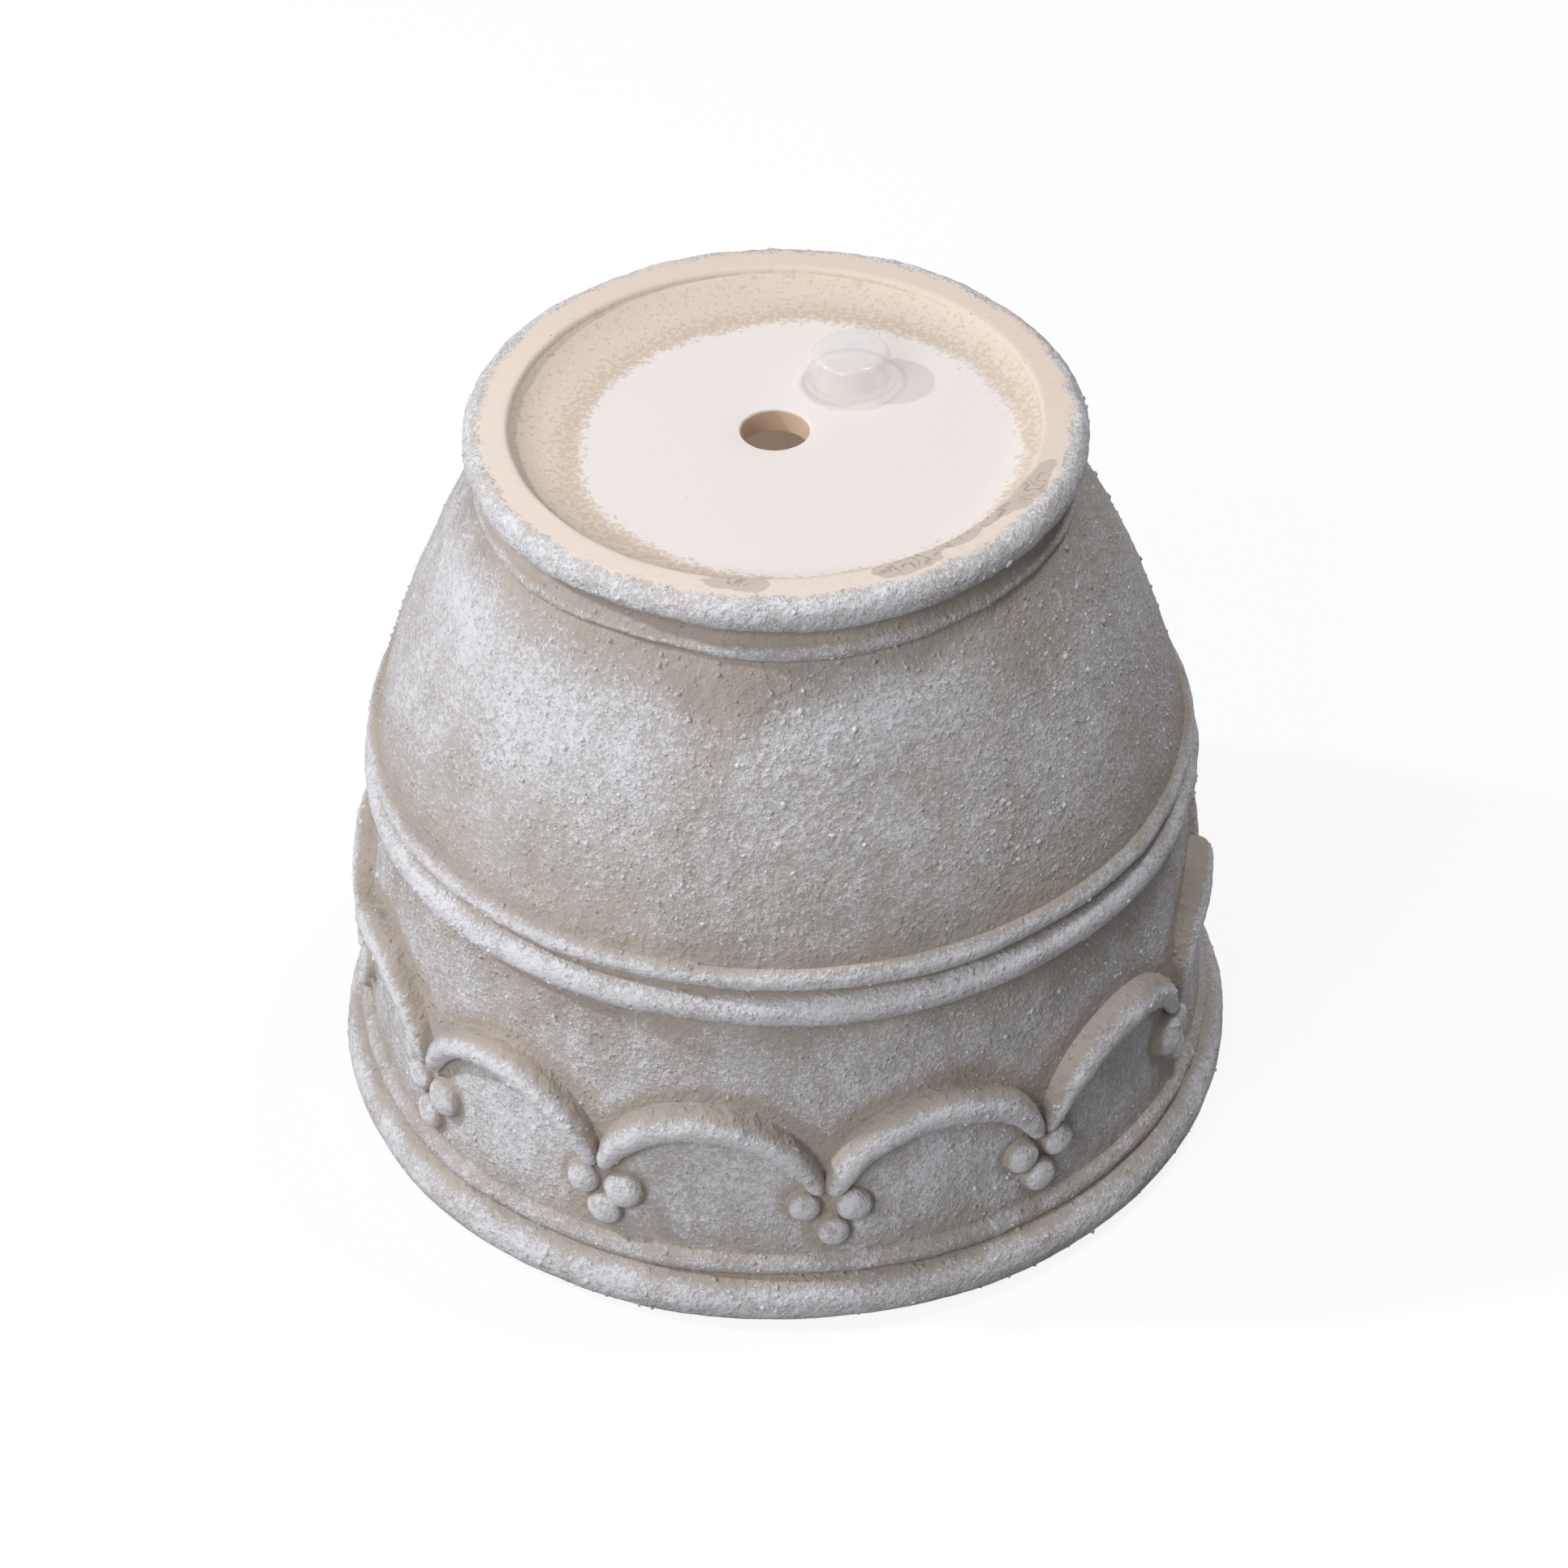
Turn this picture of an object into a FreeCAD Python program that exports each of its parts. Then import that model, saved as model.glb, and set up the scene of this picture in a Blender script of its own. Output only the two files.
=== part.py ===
"""Ceramic planter with a frieze of arches, turned over on its rim, and its loose drain plug.

The pot stands on its rim with the foot ring on top, so +Z runs from the rim to the foot.
The origin is on the pot's axis in the plane of the rim. Lengths are millimetres.
"""
import FreeCAD, Part
import Sketcher
import math
import os
import re

from FreeCAD import Placement, Rotation, Vector

os.makedirs("parts", exist_ok=True)
doc = FreeCAD.newDocument("planter")

# Driving dimensions: name, value, what it is
SIZES = [
    ("rim_radius", 150.0, "outside of the roll at the rim"),
    ("rim_roll", 8.8, "section radius of the roll at the rim"),
    ("rim_step", 9.0, "how far the roll stands out from the wall beside it"),
    ("crease_step", 1.2, "crease above the roll, outside the middle of its section"),
    ("rim_width", 20.0, "width of the rim, from the outside of its roll to the mouth"),
    ("mouth_round", 4.0, "rounded inner edge of the rim"),
    ("ledge_width", 8.0, "height of the small moulding above the roll"),
    ("ledge_bulge", 2.3, "how far that moulding swells"),
    ("frieze_height", 91.5, "plain wall that carries the arches"),
    ("frieze_draw", 9.2, "how far that wall draws in over its height"),
    ("low_band_width", 12.0, "height of the thick band at the waist"),
    ("low_band_bulge", 5.2, "how far the thick band stands out"),
    ("band_gap", 2.0, "gap between the two bands"),
    ("top_band_width", 8.4, "height of the thin band at the waist"),
    ("top_band_bulge", 3.2, "how far the thin band stands out"),
    ("belly_height", 91.2, "height of the belly"),
    ("belly_bulge", 3.6, "how far the belly swells from a straight cone"),
    ("ring_width", 5.0, "height of the small ring on the neck"),
    ("ring_bulge", 1.7, "how far the small ring stands out"),
    ("neck_width", 6.2, "height of the groove under the foot"),
    ("neck_bulge", 1.4, "depth of that groove"),
    ("foot_radius", 98.0, "outside of the foot ring"),
    ("foot_step", 3.6, "how far the foot ring stands out from the neck"),
    ("foot_under", 5.7, "height of the foot ring's lower side"),
    ("under_bulge", 1.2, "how far that side swells"),
    ("foot_round", 5.5, "rounded outer edge of the foot ring"),
    ("foot_width", 15.0, "width of the foot ring, from its outside to the recess"),
    ("lip_round", 2.0, "rounded inner edge of the foot ring"),
    ("recess_depth", 5.0, "depth of the base panel below the foot"),
    ("cove_width", 12.0, "width of the cove round the base panel"),
    ("base_thick", 8.0, "thickness of the base"),
    ("wall_thick", 9.5, "thickness of the wall at the waist and the neck"),
    ("inner_bulge", 3.4, "how far the belly's inside swells from a cone"),
    ("inner_round", 9.0, "rounded corner between the wall and the inside of the base"),
    ("hole_radius", 11.0, "drain hole"),
    ("hole_round", 0.6, "rounded outer edge of the drain hole"),
    ("arch_count", 12, "arches round the pot, with a cluster of pellets between each two"),
    ("arch_turn", 5.1, "turn of the first cluster from the front, degrees"),
    ("arch_spring", 26.3, "height of the arches' tips above the ledge"),
    ("arch_rise", 26.3, "height of an arch's middle above its tips"),
    ("arch_crown", 6.2, "section radius at the top of an arch"),
    ("arch_tip", 1.5, "section radius at the tips of an arch"),
    ("arch_lift", 2.2, "middle of the crown's section outside the wall"),
    ("tip_lift", 1.2, "middle of the tips' sections outside the wall"),
    ("tip_clear", 2.0, "half of the distance between neighbouring tips"),
    ("pellet_radius", 5.4, "round pellet"),
    ("pellet_lift", 0.6, "straight foot of a pellet outside the wall"),
    ("pellet_rise", 3.9, "height of a pellet's dome"),
    ("pellet_spread", 7.35, "half of the distance between the two upper pellets"),
    ("pellet_drop", 6.0, "upper pellets below the arches' tips"),
    ("pellet_fall", 10.6, "lower pellet below the upper two"),
    ("plug_radius", 12.6, "cap of the plug"),
    ("plug_height", 12.2, "whole height of the plug"),
    ("plug_wall", 2.2, "wall and top of the plug"),
    ("plug_round", 2.6, "rounded top edge of the plug"),
    ("step_reach", 1.9, "step round the cap's foot"),
    ("step_height", 1.6, "height of that step above the flange"),
    ("flange_reach", 3.8, "flange round the cap's foot"),
    ("flange_thick", 1.4, "thickness of the flange"),
    ("plug_right", 24.4, "place of the plug on the base, to the right of the hole"),
    ("plug_back", 25.3, "place of the plug on the base, behind the hole"),
]

dims = doc.addObject("Spreadsheet::Sheet", "dims")
for row, (alias, number, meaning) in enumerate(SIZES, 1):
    dims.set(f"A{row}", meaning)
    dims.set(f"B{row}", str(number))
    dims.setAlias(f"B{row}", alias)
doc.recompute()


def bound(formula):
    """The formula with each dimension's name, which holds an underscore, written as a cell of the sheet."""
    return re.sub(r"[a-z]+_[a-z_]+", lambda name: "dims." + name.group(0), str(formula))


def value(formula):
    """The number that a formula of dimensions gives."""
    return float(dims.evalExpression(bound(formula)))


# Heights and radii of the pot's outline, stacked from the rim to the foot
ROLL_MIDDLE = "(rim_radius - rim_roll)"
MOUTH_RADIUS = "(rim_radius - rim_width)"
CREASE_RADIUS = f"({ROLL_MIDDLE} + crease_step)"
CREASE_HEIGHT = "(rim_roll + sqrt(rim_roll ^ 2 - crease_step ^ 2))"
LEDGE_TOP = f"({CREASE_HEIGHT} + ledge_width)"
FRIEZE_RADIUS = "(rim_radius - rim_step)"
FRIEZE_TOP = f"({LEDGE_TOP} + frieze_height)"
WAIST_RADIUS = f"({FRIEZE_RADIUS} - frieze_draw)"
LOW_BAND_TOP = f"({FRIEZE_TOP} + low_band_width)"
TOP_BAND_FOOT = f"({LOW_BAND_TOP} + band_gap)"
BELLY_FOOT = f"({TOP_BAND_FOOT} + top_band_width)"
BELLY_TOP = f"({BELLY_FOOT} + belly_height)"
NECK_RADIUS = "(foot_radius - foot_step)"
RING_TOP = f"({BELLY_TOP} + ring_width)"
NECK_TOP = f"({RING_TOP} + neck_width)"
FOOT_WIDEST = f"({NECK_TOP} + foot_under)"
FOOT_PLANE = f"({FOOT_WIDEST} + foot_round)"
BASE = f"({FOOT_PLANE} - recess_depth)"
FLOOR = f"({BASE} - base_thick)"
LIP_RADIUS = "(foot_radius - foot_width)"
LIP_EDGE = f"({FOOT_PLANE} - lip_round)"
COVE_RISE = "(recess_depth - lip_round)"
COVE_ROUND = f"((cove_width ^ 2 + {COVE_RISE} ^ 2) / (2 * {COVE_RISE}))"
INNER_NECK = f"({NECK_RADIUS} - wall_thick)"

# Sides to which an arc of an outline swells, seen along the outline
LEFT = 1
RIGHT = -1


def line():
    """A straight stretch to the next point."""
    return None


def rounded(radius, side):
    """An arc of the given radius, less than half a circle, to the next point."""
    return "radius", radius, side


def swollen(bulge, side):
    """An arc to the next point that leaves the straight line by the given bulge."""
    return "bulge", bulge, side


def arc_radius(start, end, kind, size):
    """The formula of an arc's radius: given, or (half chord squared + bulge squared) / (2 bulge)."""
    if kind == "radius":
        return size
    chord_squared = f"(({end[0]} - {start[0]}) ^ 2 + ({end[1]} - {start[1]}) ^ 2)"
    return f"(({chord_squared} / 4 + {size} ^ 2) / (2 * {size}))"


def arc_through(start, end, radius, side):
    """The arc of that radius, less than half a circle, between two points, swelling to one side."""
    chord = end - start
    half = chord.Length / 2
    bulge = radius - math.sqrt(radius ** 2 - half ** 2)
    left = Vector(-chord.y, chord.x, 0).normalize()
    return Part.Arc(start, (start + end) / 2 + left * (side * bulge), end)


def origin_feature(body, role):
    """One of a body's own origin planes or axes."""
    return next(item for item in body.Origin.OriginFeatures if item.Role == role)


def new_body(label):
    """An empty body whose label names its file."""
    body = doc.addObject("PartDesign::Body", label)
    body.Label = label
    return body


def pin_down(sketch, vertex, formulas):
    """Ties a vertex to its formulas, or to an axis of the sketch where a formula is zero."""
    for kind, axis, formula in (("DistanceX", -2, formulas[0]), ("DistanceY", -1, formulas[1])):
        if formula == "0":
            sketch.addConstraint(Sketcher.Constraint("PointOnObject", *vertex, axis))
        else:
            index = sketch.addConstraint(Sketcher.Constraint(kind, -1, 1, *vertex, value(formula)))
            sketch.setExpression(f"Constraints[{index}]", bound(formula))


def sketch_on(body, name, plane):
    """An empty sketch on one of the body's origin planes."""
    sketch = body.newObject("Sketcher::SketchObject", name)
    sketch.AttachmentSupport = [(origin_feature(body, plane), "")]
    sketch.MapMode = "FlatFace"
    return sketch


def sketch_at(body, name, origin, across, upward):
    """An empty sketch whose axes point the given ways from the given origin."""
    sketch = body.newObject("Sketcher::SketchObject", name)
    sketch.Placement = Placement(origin, Rotation(across, upward, across.cross(upward), "XYZ"))
    return sketch


def draw_circle(sketch, radius):
    """A circle about the sketch's origin with its radius tied to a formula."""
    circle = sketch.addGeometry(Part.Circle(Vector(), Vector(0, 0, 1), value(radius)))
    sketch.addConstraint(Sketcher.Constraint("Coincident", circle, 3, -1, 1))
    tie = sketch.addConstraint(Sketcher.Constraint("Radius", circle, value(radius)))
    sketch.setExpression(f"Constraints[{tie}]", bound(radius))


def draw_outline(sketch, points):
    """A closed outline; each point is its two coordinates and the way to the next point."""
    places = [Vector(value(radius), value(height), 0) for radius, height, way in points]
    ends = []
    for index, (radius, height, way) in enumerate(points):
        following = (index + 1) % len(points)
        start, end = places[index], places[following]
        if way is None:
            edge = sketch.addGeometry(Part.LineSegment(start, end))
        else:
            kind, size, side = way
            reach = arc_radius((radius, height), points[following], kind, size)
            edge = sketch.addGeometry(arc_through(start, end, value(reach), side))
        first = 1 if sketch.getPoint(edge, 1).isEqual(start, 1e-6) else 2
        ends.append(((edge, first), (edge, 3 - first)))
        pin_down(sketch, (edge, first), (radius, height))
        if way is not None:
            tie = sketch.addConstraint(Sketcher.Constraint("Radius", edge, value(reach)))
            sketch.setExpression(f"Constraints[{tie}]", bound(reach))
    for index, (start, end) in enumerate(ends):
        following = ends[(index + 1) % len(ends)][0]
        sketch.addConstraint(Sketcher.Constraint("Coincident", *end, *following))


def turned(body, name, sketch):
    """The solid of revolution of a sketch about its upright axis."""
    solid = body.newObject("PartDesign::Revolution", name)
    solid.Profile = sketch
    solid.ReferenceAxis = (sketch, ["V_Axis"])
    solid.Angle = 360
    return solid


POT_OUTLINE = [
    ("0", FLOOR, line()),
    ("0", BASE, line()),
    (f"{LIP_RADIUS} - cove_width", BASE, rounded(COVE_ROUND, RIGHT)),
    (LIP_RADIUS, LIP_EDGE, rounded("lip_round", LEFT)),
    (f"{LIP_RADIUS} + lip_round", FOOT_PLANE, line()),
    ("foot_radius - foot_round", FOOT_PLANE, rounded("foot_round", LEFT)),
    ("foot_radius", FOOT_WIDEST, swollen("under_bulge", LEFT)),
    (NECK_RADIUS, NECK_TOP, swollen("neck_bulge", RIGHT)),
    (NECK_RADIUS, RING_TOP, swollen("ring_bulge", LEFT)),
    (NECK_RADIUS, BELLY_TOP, swollen("belly_bulge", LEFT)),
    (WAIST_RADIUS, BELLY_FOOT, swollen("top_band_bulge", LEFT)),
    (WAIST_RADIUS, TOP_BAND_FOOT, line()),
    (WAIST_RADIUS, LOW_BAND_TOP, swollen("low_band_bulge", LEFT)),
    (WAIST_RADIUS, FRIEZE_TOP, line()),
    (FRIEZE_RADIUS, LEDGE_TOP, swollen("ledge_bulge", LEFT)),
    (CREASE_RADIUS, CREASE_HEIGHT, rounded("rim_roll", LEFT)),
    ("rim_radius", "rim_roll", rounded("rim_roll", LEFT)),
    (ROLL_MIDDLE, "0", line()),
    (f"{MOUTH_RADIUS} + mouth_round", "0", rounded("mouth_round", LEFT)),
    (MOUTH_RADIUS, "mouth_round", line()),
    (f"{WAIST_RADIUS} - wall_thick", BELLY_FOOT, swollen("inner_bulge", RIGHT)),
    (INNER_NECK, f"{FLOOR} - inner_round", rounded("inner_round", RIGHT)),
    (f"{INNER_NECK} - inner_round", FLOOR, line()),
]


def bore_base(body):
    """Cuts the drain hole through the base and rounds its outer edge."""
    sketch = sketch_on(body, "drain_hole_circle", "XY_Plane")
    draw_circle(sketch, "hole_radius")
    whole = body.Tip.Shape.Volume
    hole = body.newObject("PartDesign::Pocket", "drain_hole")
    hole.Profile = sketch
    hole.Type = "ThroughAll"
    hole.Reversed = True
    doc.recompute()
    removed = whole - hole.Shape.Volume
    expected = math.pi * value("hole_radius") ** 2 * value("base_thick")
    if abs(removed - expected) > expected * 1e-3:
        raise RuntimeError("the drain hole doesn't go through the base")
    edges = hole.Shape.Edges
    rims = [f"Edge{number}" for number, edge in enumerate(edges, 1)
            if isinstance(edge.Curve, Part.Circle)
            and abs(edge.Curve.Radius - value("hole_radius")) < 1e-6
            and abs(edge.Curve.Center.z - value(BASE)) < 1e-6]
    rounding = body.newObject("PartDesign::Fillet", "drain_hole_edge")
    rounding.Base = (hole, rims)
    rounding.Radius = value("hole_round")
    rounding.setExpression("Radius", bound("hole_round"))


ARCH_STATIONS = 9


def wall_radius(height):
    """Outside of the plain frieze wall, a cone, at a height."""
    share = (height - value(LEDGE_TOP)) / value("frieze_height")
    return value(FRIEZE_RADIUS) - share * value("frieze_draw")


def on_wall(angle, height, lift):
    """A point at an angle round the pot and a height, lifted out of the frieze wall."""
    radius = wall_radius(height) + lift
    return Vector(radius * math.cos(angle), radius * math.sin(angle), height)


def directions(angle):
    """The level directions out of the pot and round it at an angle."""
    return Vector(math.cos(angle), math.sin(angle), 0), Vector(-math.sin(angle), math.cos(angle), 0)


def make_arch(body, middle):
    """One arch, lofted through round sections that swell from its tips to its crown.

    Its line is an arc on the wall laid flat, with the radius (span squared + rise squared) / (2 rise),
    where the span is half of the distance between its tips.
    """
    tips = value(LEDGE_TOP) + value("arch_spring")
    span = math.pi * wall_radius(tips) / value("arch_count") - value("tip_clear")
    rise = value("arch_rise")
    reach = (span ** 2 + rise ** 2) / (2 * rise)
    start = math.asin((reach - rise) / reach)
    sections = []
    for station in range(ARCH_STATIONS):
        share = station / (ARCH_STATIONS - 1)
        turn = start + share * (math.pi - 2 * start)
        swell = round(math.sqrt(abs(math.sin(math.pi * share))), 6)
        height = tips + rise - reach + reach * math.sin(turn)
        angle = middle + reach * math.cos(turn) / wall_radius(height)
        outward, around = directions(angle)
        along = around * -math.sin(turn) + Vector(0, 0, math.cos(turn))
        lift = value(f"tip_lift + (arch_lift - tip_lift) * {swell}")
        place = on_wall(angle, height, lift)
        sketch = sketch_at(body, f"arch_section_{station + 1}", place, outward, along.cross(outward))
        draw_circle(sketch, f"arch_tip + (arch_crown - arch_tip) * {swell}")
        sections.append(sketch)
    arch = body.newObject("PartDesign::AdditiveLoft", "arch")
    arch.Profile = sections[0]
    arch.Sections = sections[1:]
    doc.recompute()
    return arch


PELLET_ROOT = "(wall_thick / 2)"
PELLET_STEM = f"({PELLET_ROOT} + pellet_lift)"
PELLET_ROUND = "((pellet_radius ^ 2 + pellet_rise ^ 2) / (2 * pellet_rise))"
PELLET_OUTLINE = [
    ("0", "0", line()),
    ("pellet_radius", "0", line()),
    ("pellet_radius", PELLET_STEM, rounded(PELLET_ROUND, RIGHT)),
    ("0", f"{PELLET_STEM} + pellet_rise", line()),
]


def make_pellets(body, middle):
    """Three domed pellets under the cusp between two arches: two side by side and one nearer the rim."""
    upper = value(LEDGE_TOP) + value("arch_spring") - value("pellet_drop")
    lower = upper - value("pellet_fall")
    aside = value("pellet_spread") / wall_radius(upper)
    places = (("left", middle - aside, upper), ("right", middle + aside, upper), ("low", middle, lower))
    pellets = []
    for side, angle, height in places:
        outward, around = directions(angle)
        place = on_wall(angle, height, -value(PELLET_ROOT))
        sketch = sketch_at(body, f"pellet_{side}_outline", place, around, outward)
        draw_outline(sketch, PELLET_OUTLINE)
        pellets.append(turned(body, f"pellet_{side}", sketch))
    doc.recompute()
    return pellets


def repeat_round(body, name, features):
    """Repeats features of the frieze at equal steps round the pot's axis."""
    pattern = body.newObject("PartDesign::PolarPattern", name)
    pattern.Originals = features
    pattern.Axis = (origin_feature(body, "Z_Axis"), [""])
    pattern.Angle = 360
    pattern.setExpression("Occurrences", bound("arch_count"))
    body.Tip = pattern
    doc.recompute()


def make_pot():
    """The ceramic body: a turned wall with its base, the drain hole, and the frieze repeated round it."""
    body = new_body("pot")
    profile = sketch_on(body, "wall_outline", "XZ_Plane")
    draw_outline(profile, POT_OUTLINE)
    turned(body, "wall", profile)
    doc.recompute()
    bore_base(body)
    front = math.radians(value("arch_turn") - 90)
    half_pitch = math.pi / value("arch_count")
    repeat_round(body, "arches", [make_arch(body, front + half_pitch)])
    repeat_round(body, "clusters", make_pellets(body, front))
    return body


STEP_RADIUS = "(plug_radius + step_reach)"
FLANGE_RADIUS = "(plug_radius + flange_reach)"
STEP_TOP = "(flange_thick + step_height)"
HOLLOW_RADIUS = "(plug_radius - plug_wall)"
HOLLOW_TOP = "(plug_height - plug_wall)"
HOLLOW_ROUND = "(plug_round - plug_wall / 2)"

PLUG_OUTLINE = [
    ("0", HOLLOW_TOP, line()),
    ("0", "plug_height", line()),
    ("plug_radius - plug_round", "plug_height", rounded("plug_round", LEFT)),
    ("plug_radius", "plug_height - plug_round", line()),
    ("plug_radius", STEP_TOP, line()),
    (STEP_RADIUS, STEP_TOP, line()),
    (STEP_RADIUS, "flange_thick", line()),
    (FLANGE_RADIUS, "flange_thick", line()),
    (FLANGE_RADIUS, "0", line()),
    (HOLLOW_RADIUS, "0", line()),
    (HOLLOW_RADIUS, f"{HOLLOW_TOP} - {HOLLOW_ROUND}", rounded(HOLLOW_ROUND, RIGHT)),
    (f"{HOLLOW_RADIUS} - {HOLLOW_ROUND}", HOLLOW_TOP, line()),
]


def make_plug():
    """The hollow silicone plug, cap upwards, lying on the base beside the hole."""
    body = new_body("drain_plug")
    profile = sketch_on(body, "plug_outline", "XZ_Plane")
    draw_outline(profile, PLUG_OUTLINE)
    turned(body, "cap_and_flange", profile)
    for axis, formula in (("x", "plug_right"), ("y", "plug_back"), ("z", BASE)):
        body.setExpression(f"Placement.Base.{axis}", bound(formula))
    doc.recompute()
    return body


bodies = [make_pot(), make_plug()]
for item in doc.Objects:
    if "Invalid" in item.State or "Error" in item.State:
        raise RuntimeError(f"{item.Name} failed: {item.State}")
for body in bodies:
    shape = body.Shape
    if shape.isNull() or not shape.isValid() or len(shape.Solids) != 1:
        raise RuntimeError(f"{body.Label} isn't one valid solid")
    shape.exportStep(f"parts/{body.Label}.step")
    print(body.Label, round(shape.Volume / 1000, 1), "cm3", shape.BoundBox)
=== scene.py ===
"""Looks of a ceramic planter that stands turned over on its rim, with a clear drain plug on its base.

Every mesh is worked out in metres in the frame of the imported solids: the pot's axis is Z, the rim is at
height 0 and the foot is on top. A surface is a grid of points, with rows along an outline or a path and
columns round it.
"""
import math

import bpy
import numpy as np
from mathutils import Matrix, Vector


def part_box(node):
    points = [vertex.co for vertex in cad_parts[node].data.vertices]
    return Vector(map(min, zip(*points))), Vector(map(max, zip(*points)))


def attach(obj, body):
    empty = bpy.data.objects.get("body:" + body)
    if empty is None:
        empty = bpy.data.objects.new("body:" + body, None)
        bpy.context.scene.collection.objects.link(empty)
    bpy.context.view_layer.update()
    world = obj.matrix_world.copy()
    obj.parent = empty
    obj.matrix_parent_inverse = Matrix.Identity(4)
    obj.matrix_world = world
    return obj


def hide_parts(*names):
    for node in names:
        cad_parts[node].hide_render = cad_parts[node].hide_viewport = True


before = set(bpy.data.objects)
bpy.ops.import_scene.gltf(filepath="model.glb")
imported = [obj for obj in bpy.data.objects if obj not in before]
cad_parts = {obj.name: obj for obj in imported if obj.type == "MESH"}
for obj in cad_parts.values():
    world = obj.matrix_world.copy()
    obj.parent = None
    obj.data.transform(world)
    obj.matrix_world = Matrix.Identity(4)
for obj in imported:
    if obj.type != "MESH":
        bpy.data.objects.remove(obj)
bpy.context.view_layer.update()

MM = 0.001
TURN = 2 * math.pi

# Sizes of the pot's outline, as in the solids
POT_LOW, POT_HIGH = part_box("pot")
RIM_RADIUS = POT_HIGH.x
FOOT_PLANE = POT_HIGH.z
RIM_ROLL = 8.8 * MM
RIM_STEP = 9.0 * MM
RIM_WIDTH = 20.0 * MM
MOUTH_ROUND = 4.0 * MM
CREASE_STEP = 1.2 * MM
LEDGE_WIDTH = 8.0 * MM
LEDGE_BULGE = 2.3 * MM
FRIEZE_HEIGHT = 91.5 * MM
FRIEZE_DRAW = 9.2 * MM
LOW_BAND_WIDTH = 12.0 * MM
LOW_BAND_BULGE = 5.2 * MM
BAND_GAP = 2.0 * MM
TOP_BAND_WIDTH = 8.4 * MM
TOP_BAND_BULGE = 3.2 * MM
BELLY_HEIGHT = 91.2 * MM
BELLY_BULGE = 3.6 * MM
RING_WIDTH = 5.0 * MM
RING_BULGE = 1.7 * MM
NECK_WIDTH = 6.2 * MM
NECK_BULGE = 1.4 * MM
FOOT_RADIUS = 98.0 * MM
FOOT_STEP = 3.6 * MM
FOOT_ROUND = 5.5 * MM
FOOT_WIDTH = 15.0 * MM
UNDER_BULGE = 1.2 * MM
LIP_ROUND = 2.0 * MM
RECESS_DEPTH = 5.0 * MM
COVE_WIDTH = 12.0 * MM
BASE_THICK = 8.0 * MM
WALL_THICK = 9.5 * MM
INNER_BULGE = 3.4 * MM
INNER_ROUND = 9.0 * MM
HOLE_RADIUS = 11.0 * MM
HOLE_ROUND = 0.6 * MM

# Heights and radii that follow from them
ROLL_MIDDLE = RIM_RADIUS - RIM_ROLL
CREASE_RADIUS = ROLL_MIDDLE + CREASE_STEP
CREASE_HEIGHT = RIM_ROLL + math.sqrt(RIM_ROLL ** 2 - CREASE_STEP ** 2)
LEDGE_TOP = CREASE_HEIGHT + LEDGE_WIDTH
FRIEZE_RADIUS = RIM_RADIUS - RIM_STEP
FRIEZE_TOP = LEDGE_TOP + FRIEZE_HEIGHT
WAIST_RADIUS = FRIEZE_RADIUS - FRIEZE_DRAW
LOW_BAND_TOP = FRIEZE_TOP + LOW_BAND_WIDTH
TOP_BAND_FOOT = LOW_BAND_TOP + BAND_GAP
BELLY_FOOT = TOP_BAND_FOOT + TOP_BAND_WIDTH
BELLY_TOP = BELLY_FOOT + BELLY_HEIGHT
NECK_RADIUS = FOOT_RADIUS - FOOT_STEP
RING_TOP = BELLY_TOP + RING_WIDTH
NECK_TOP = RING_TOP + NECK_WIDTH
FOOT_WIDEST = FOOT_PLANE - FOOT_ROUND
LIP_RADIUS = FOOT_RADIUS - FOOT_WIDTH
LIP_EDGE = FOOT_PLANE - LIP_ROUND
COVE_RISE = RECESS_DEPTH - LIP_ROUND
COVE_RADIUS = (COVE_WIDTH ** 2 + COVE_RISE ** 2) / (2 * COVE_RISE)
PANEL_EDGE = LIP_RADIUS - COVE_WIDTH
BASE = FOOT_PLANE - RECESS_DEPTH
FLOOR = BASE - BASE_THICK
MOUTH_RADIUS = RIM_RADIUS - RIM_WIDTH
INNER_NECK = NECK_RADIUS - WALL_THICK
INNER_WAIST = WAIST_RADIUS - WALL_THICK

# The frieze of arches and pellets
ARCH_COUNT = 12
ARCH_TURN = math.radians(5.1)
ARCH_SPRING = 26.3 * MM
ARCH_RISE = 26.3 * MM
ARCH_CROWN = 6.2 * MM
ARCH_TIP = 1.5 * MM
ARCH_LIFT = 2.2 * MM
TIP_LIFT = 1.2 * MM
ARCH_FLARE = 0.35
TIP_CLEAR = 2.0 * MM
PELLET_RADIUS = 5.4 * MM
PELLET_LIFT = 0.6 * MM
PELLET_RISE = 3.9 * MM
PELLET_SPREAD = 7.35 * MM
PELLET_DROP = 6.0 * MM
PELLET_FALL = 10.6 * MM
ARCH_PITCH = TURN / ARCH_COUNT
FIRST_CLUSTER = ARCH_TURN - TURN / 4
FIRST_ARCH = FIRST_CLUSTER + ARCH_PITCH / 2
TIPS = LEDGE_TOP + ARCH_SPRING
WALL_SLOPE = FRIEZE_DRAW / FRIEZE_HEIGHT

# The plug, whose place and height come from the frame
PLUG_LOW, PLUG_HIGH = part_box("drain_plug")
PLUG_MIDDLE = (PLUG_LOW + PLUG_HIGH) / 2
PLUG_FOOT = PLUG_LOW.z
PLUG_HEIGHT = PLUG_HIGH.z - PLUG_LOW.z
FLANGE_RADIUS = (PLUG_HIGH.x - PLUG_LOW.x) / 2
PLUG_RADIUS = FLANGE_RADIUS - 3.8 * MM
PLUG_WALL = 2.2 * MM
PLUG_ROUND = 2.6 * MM
STEP_REACH = 1.9 * MM
STEP_HEIGHT = 1.6 * MM
FLANGE_THICK = 1.4 * MM

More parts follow.
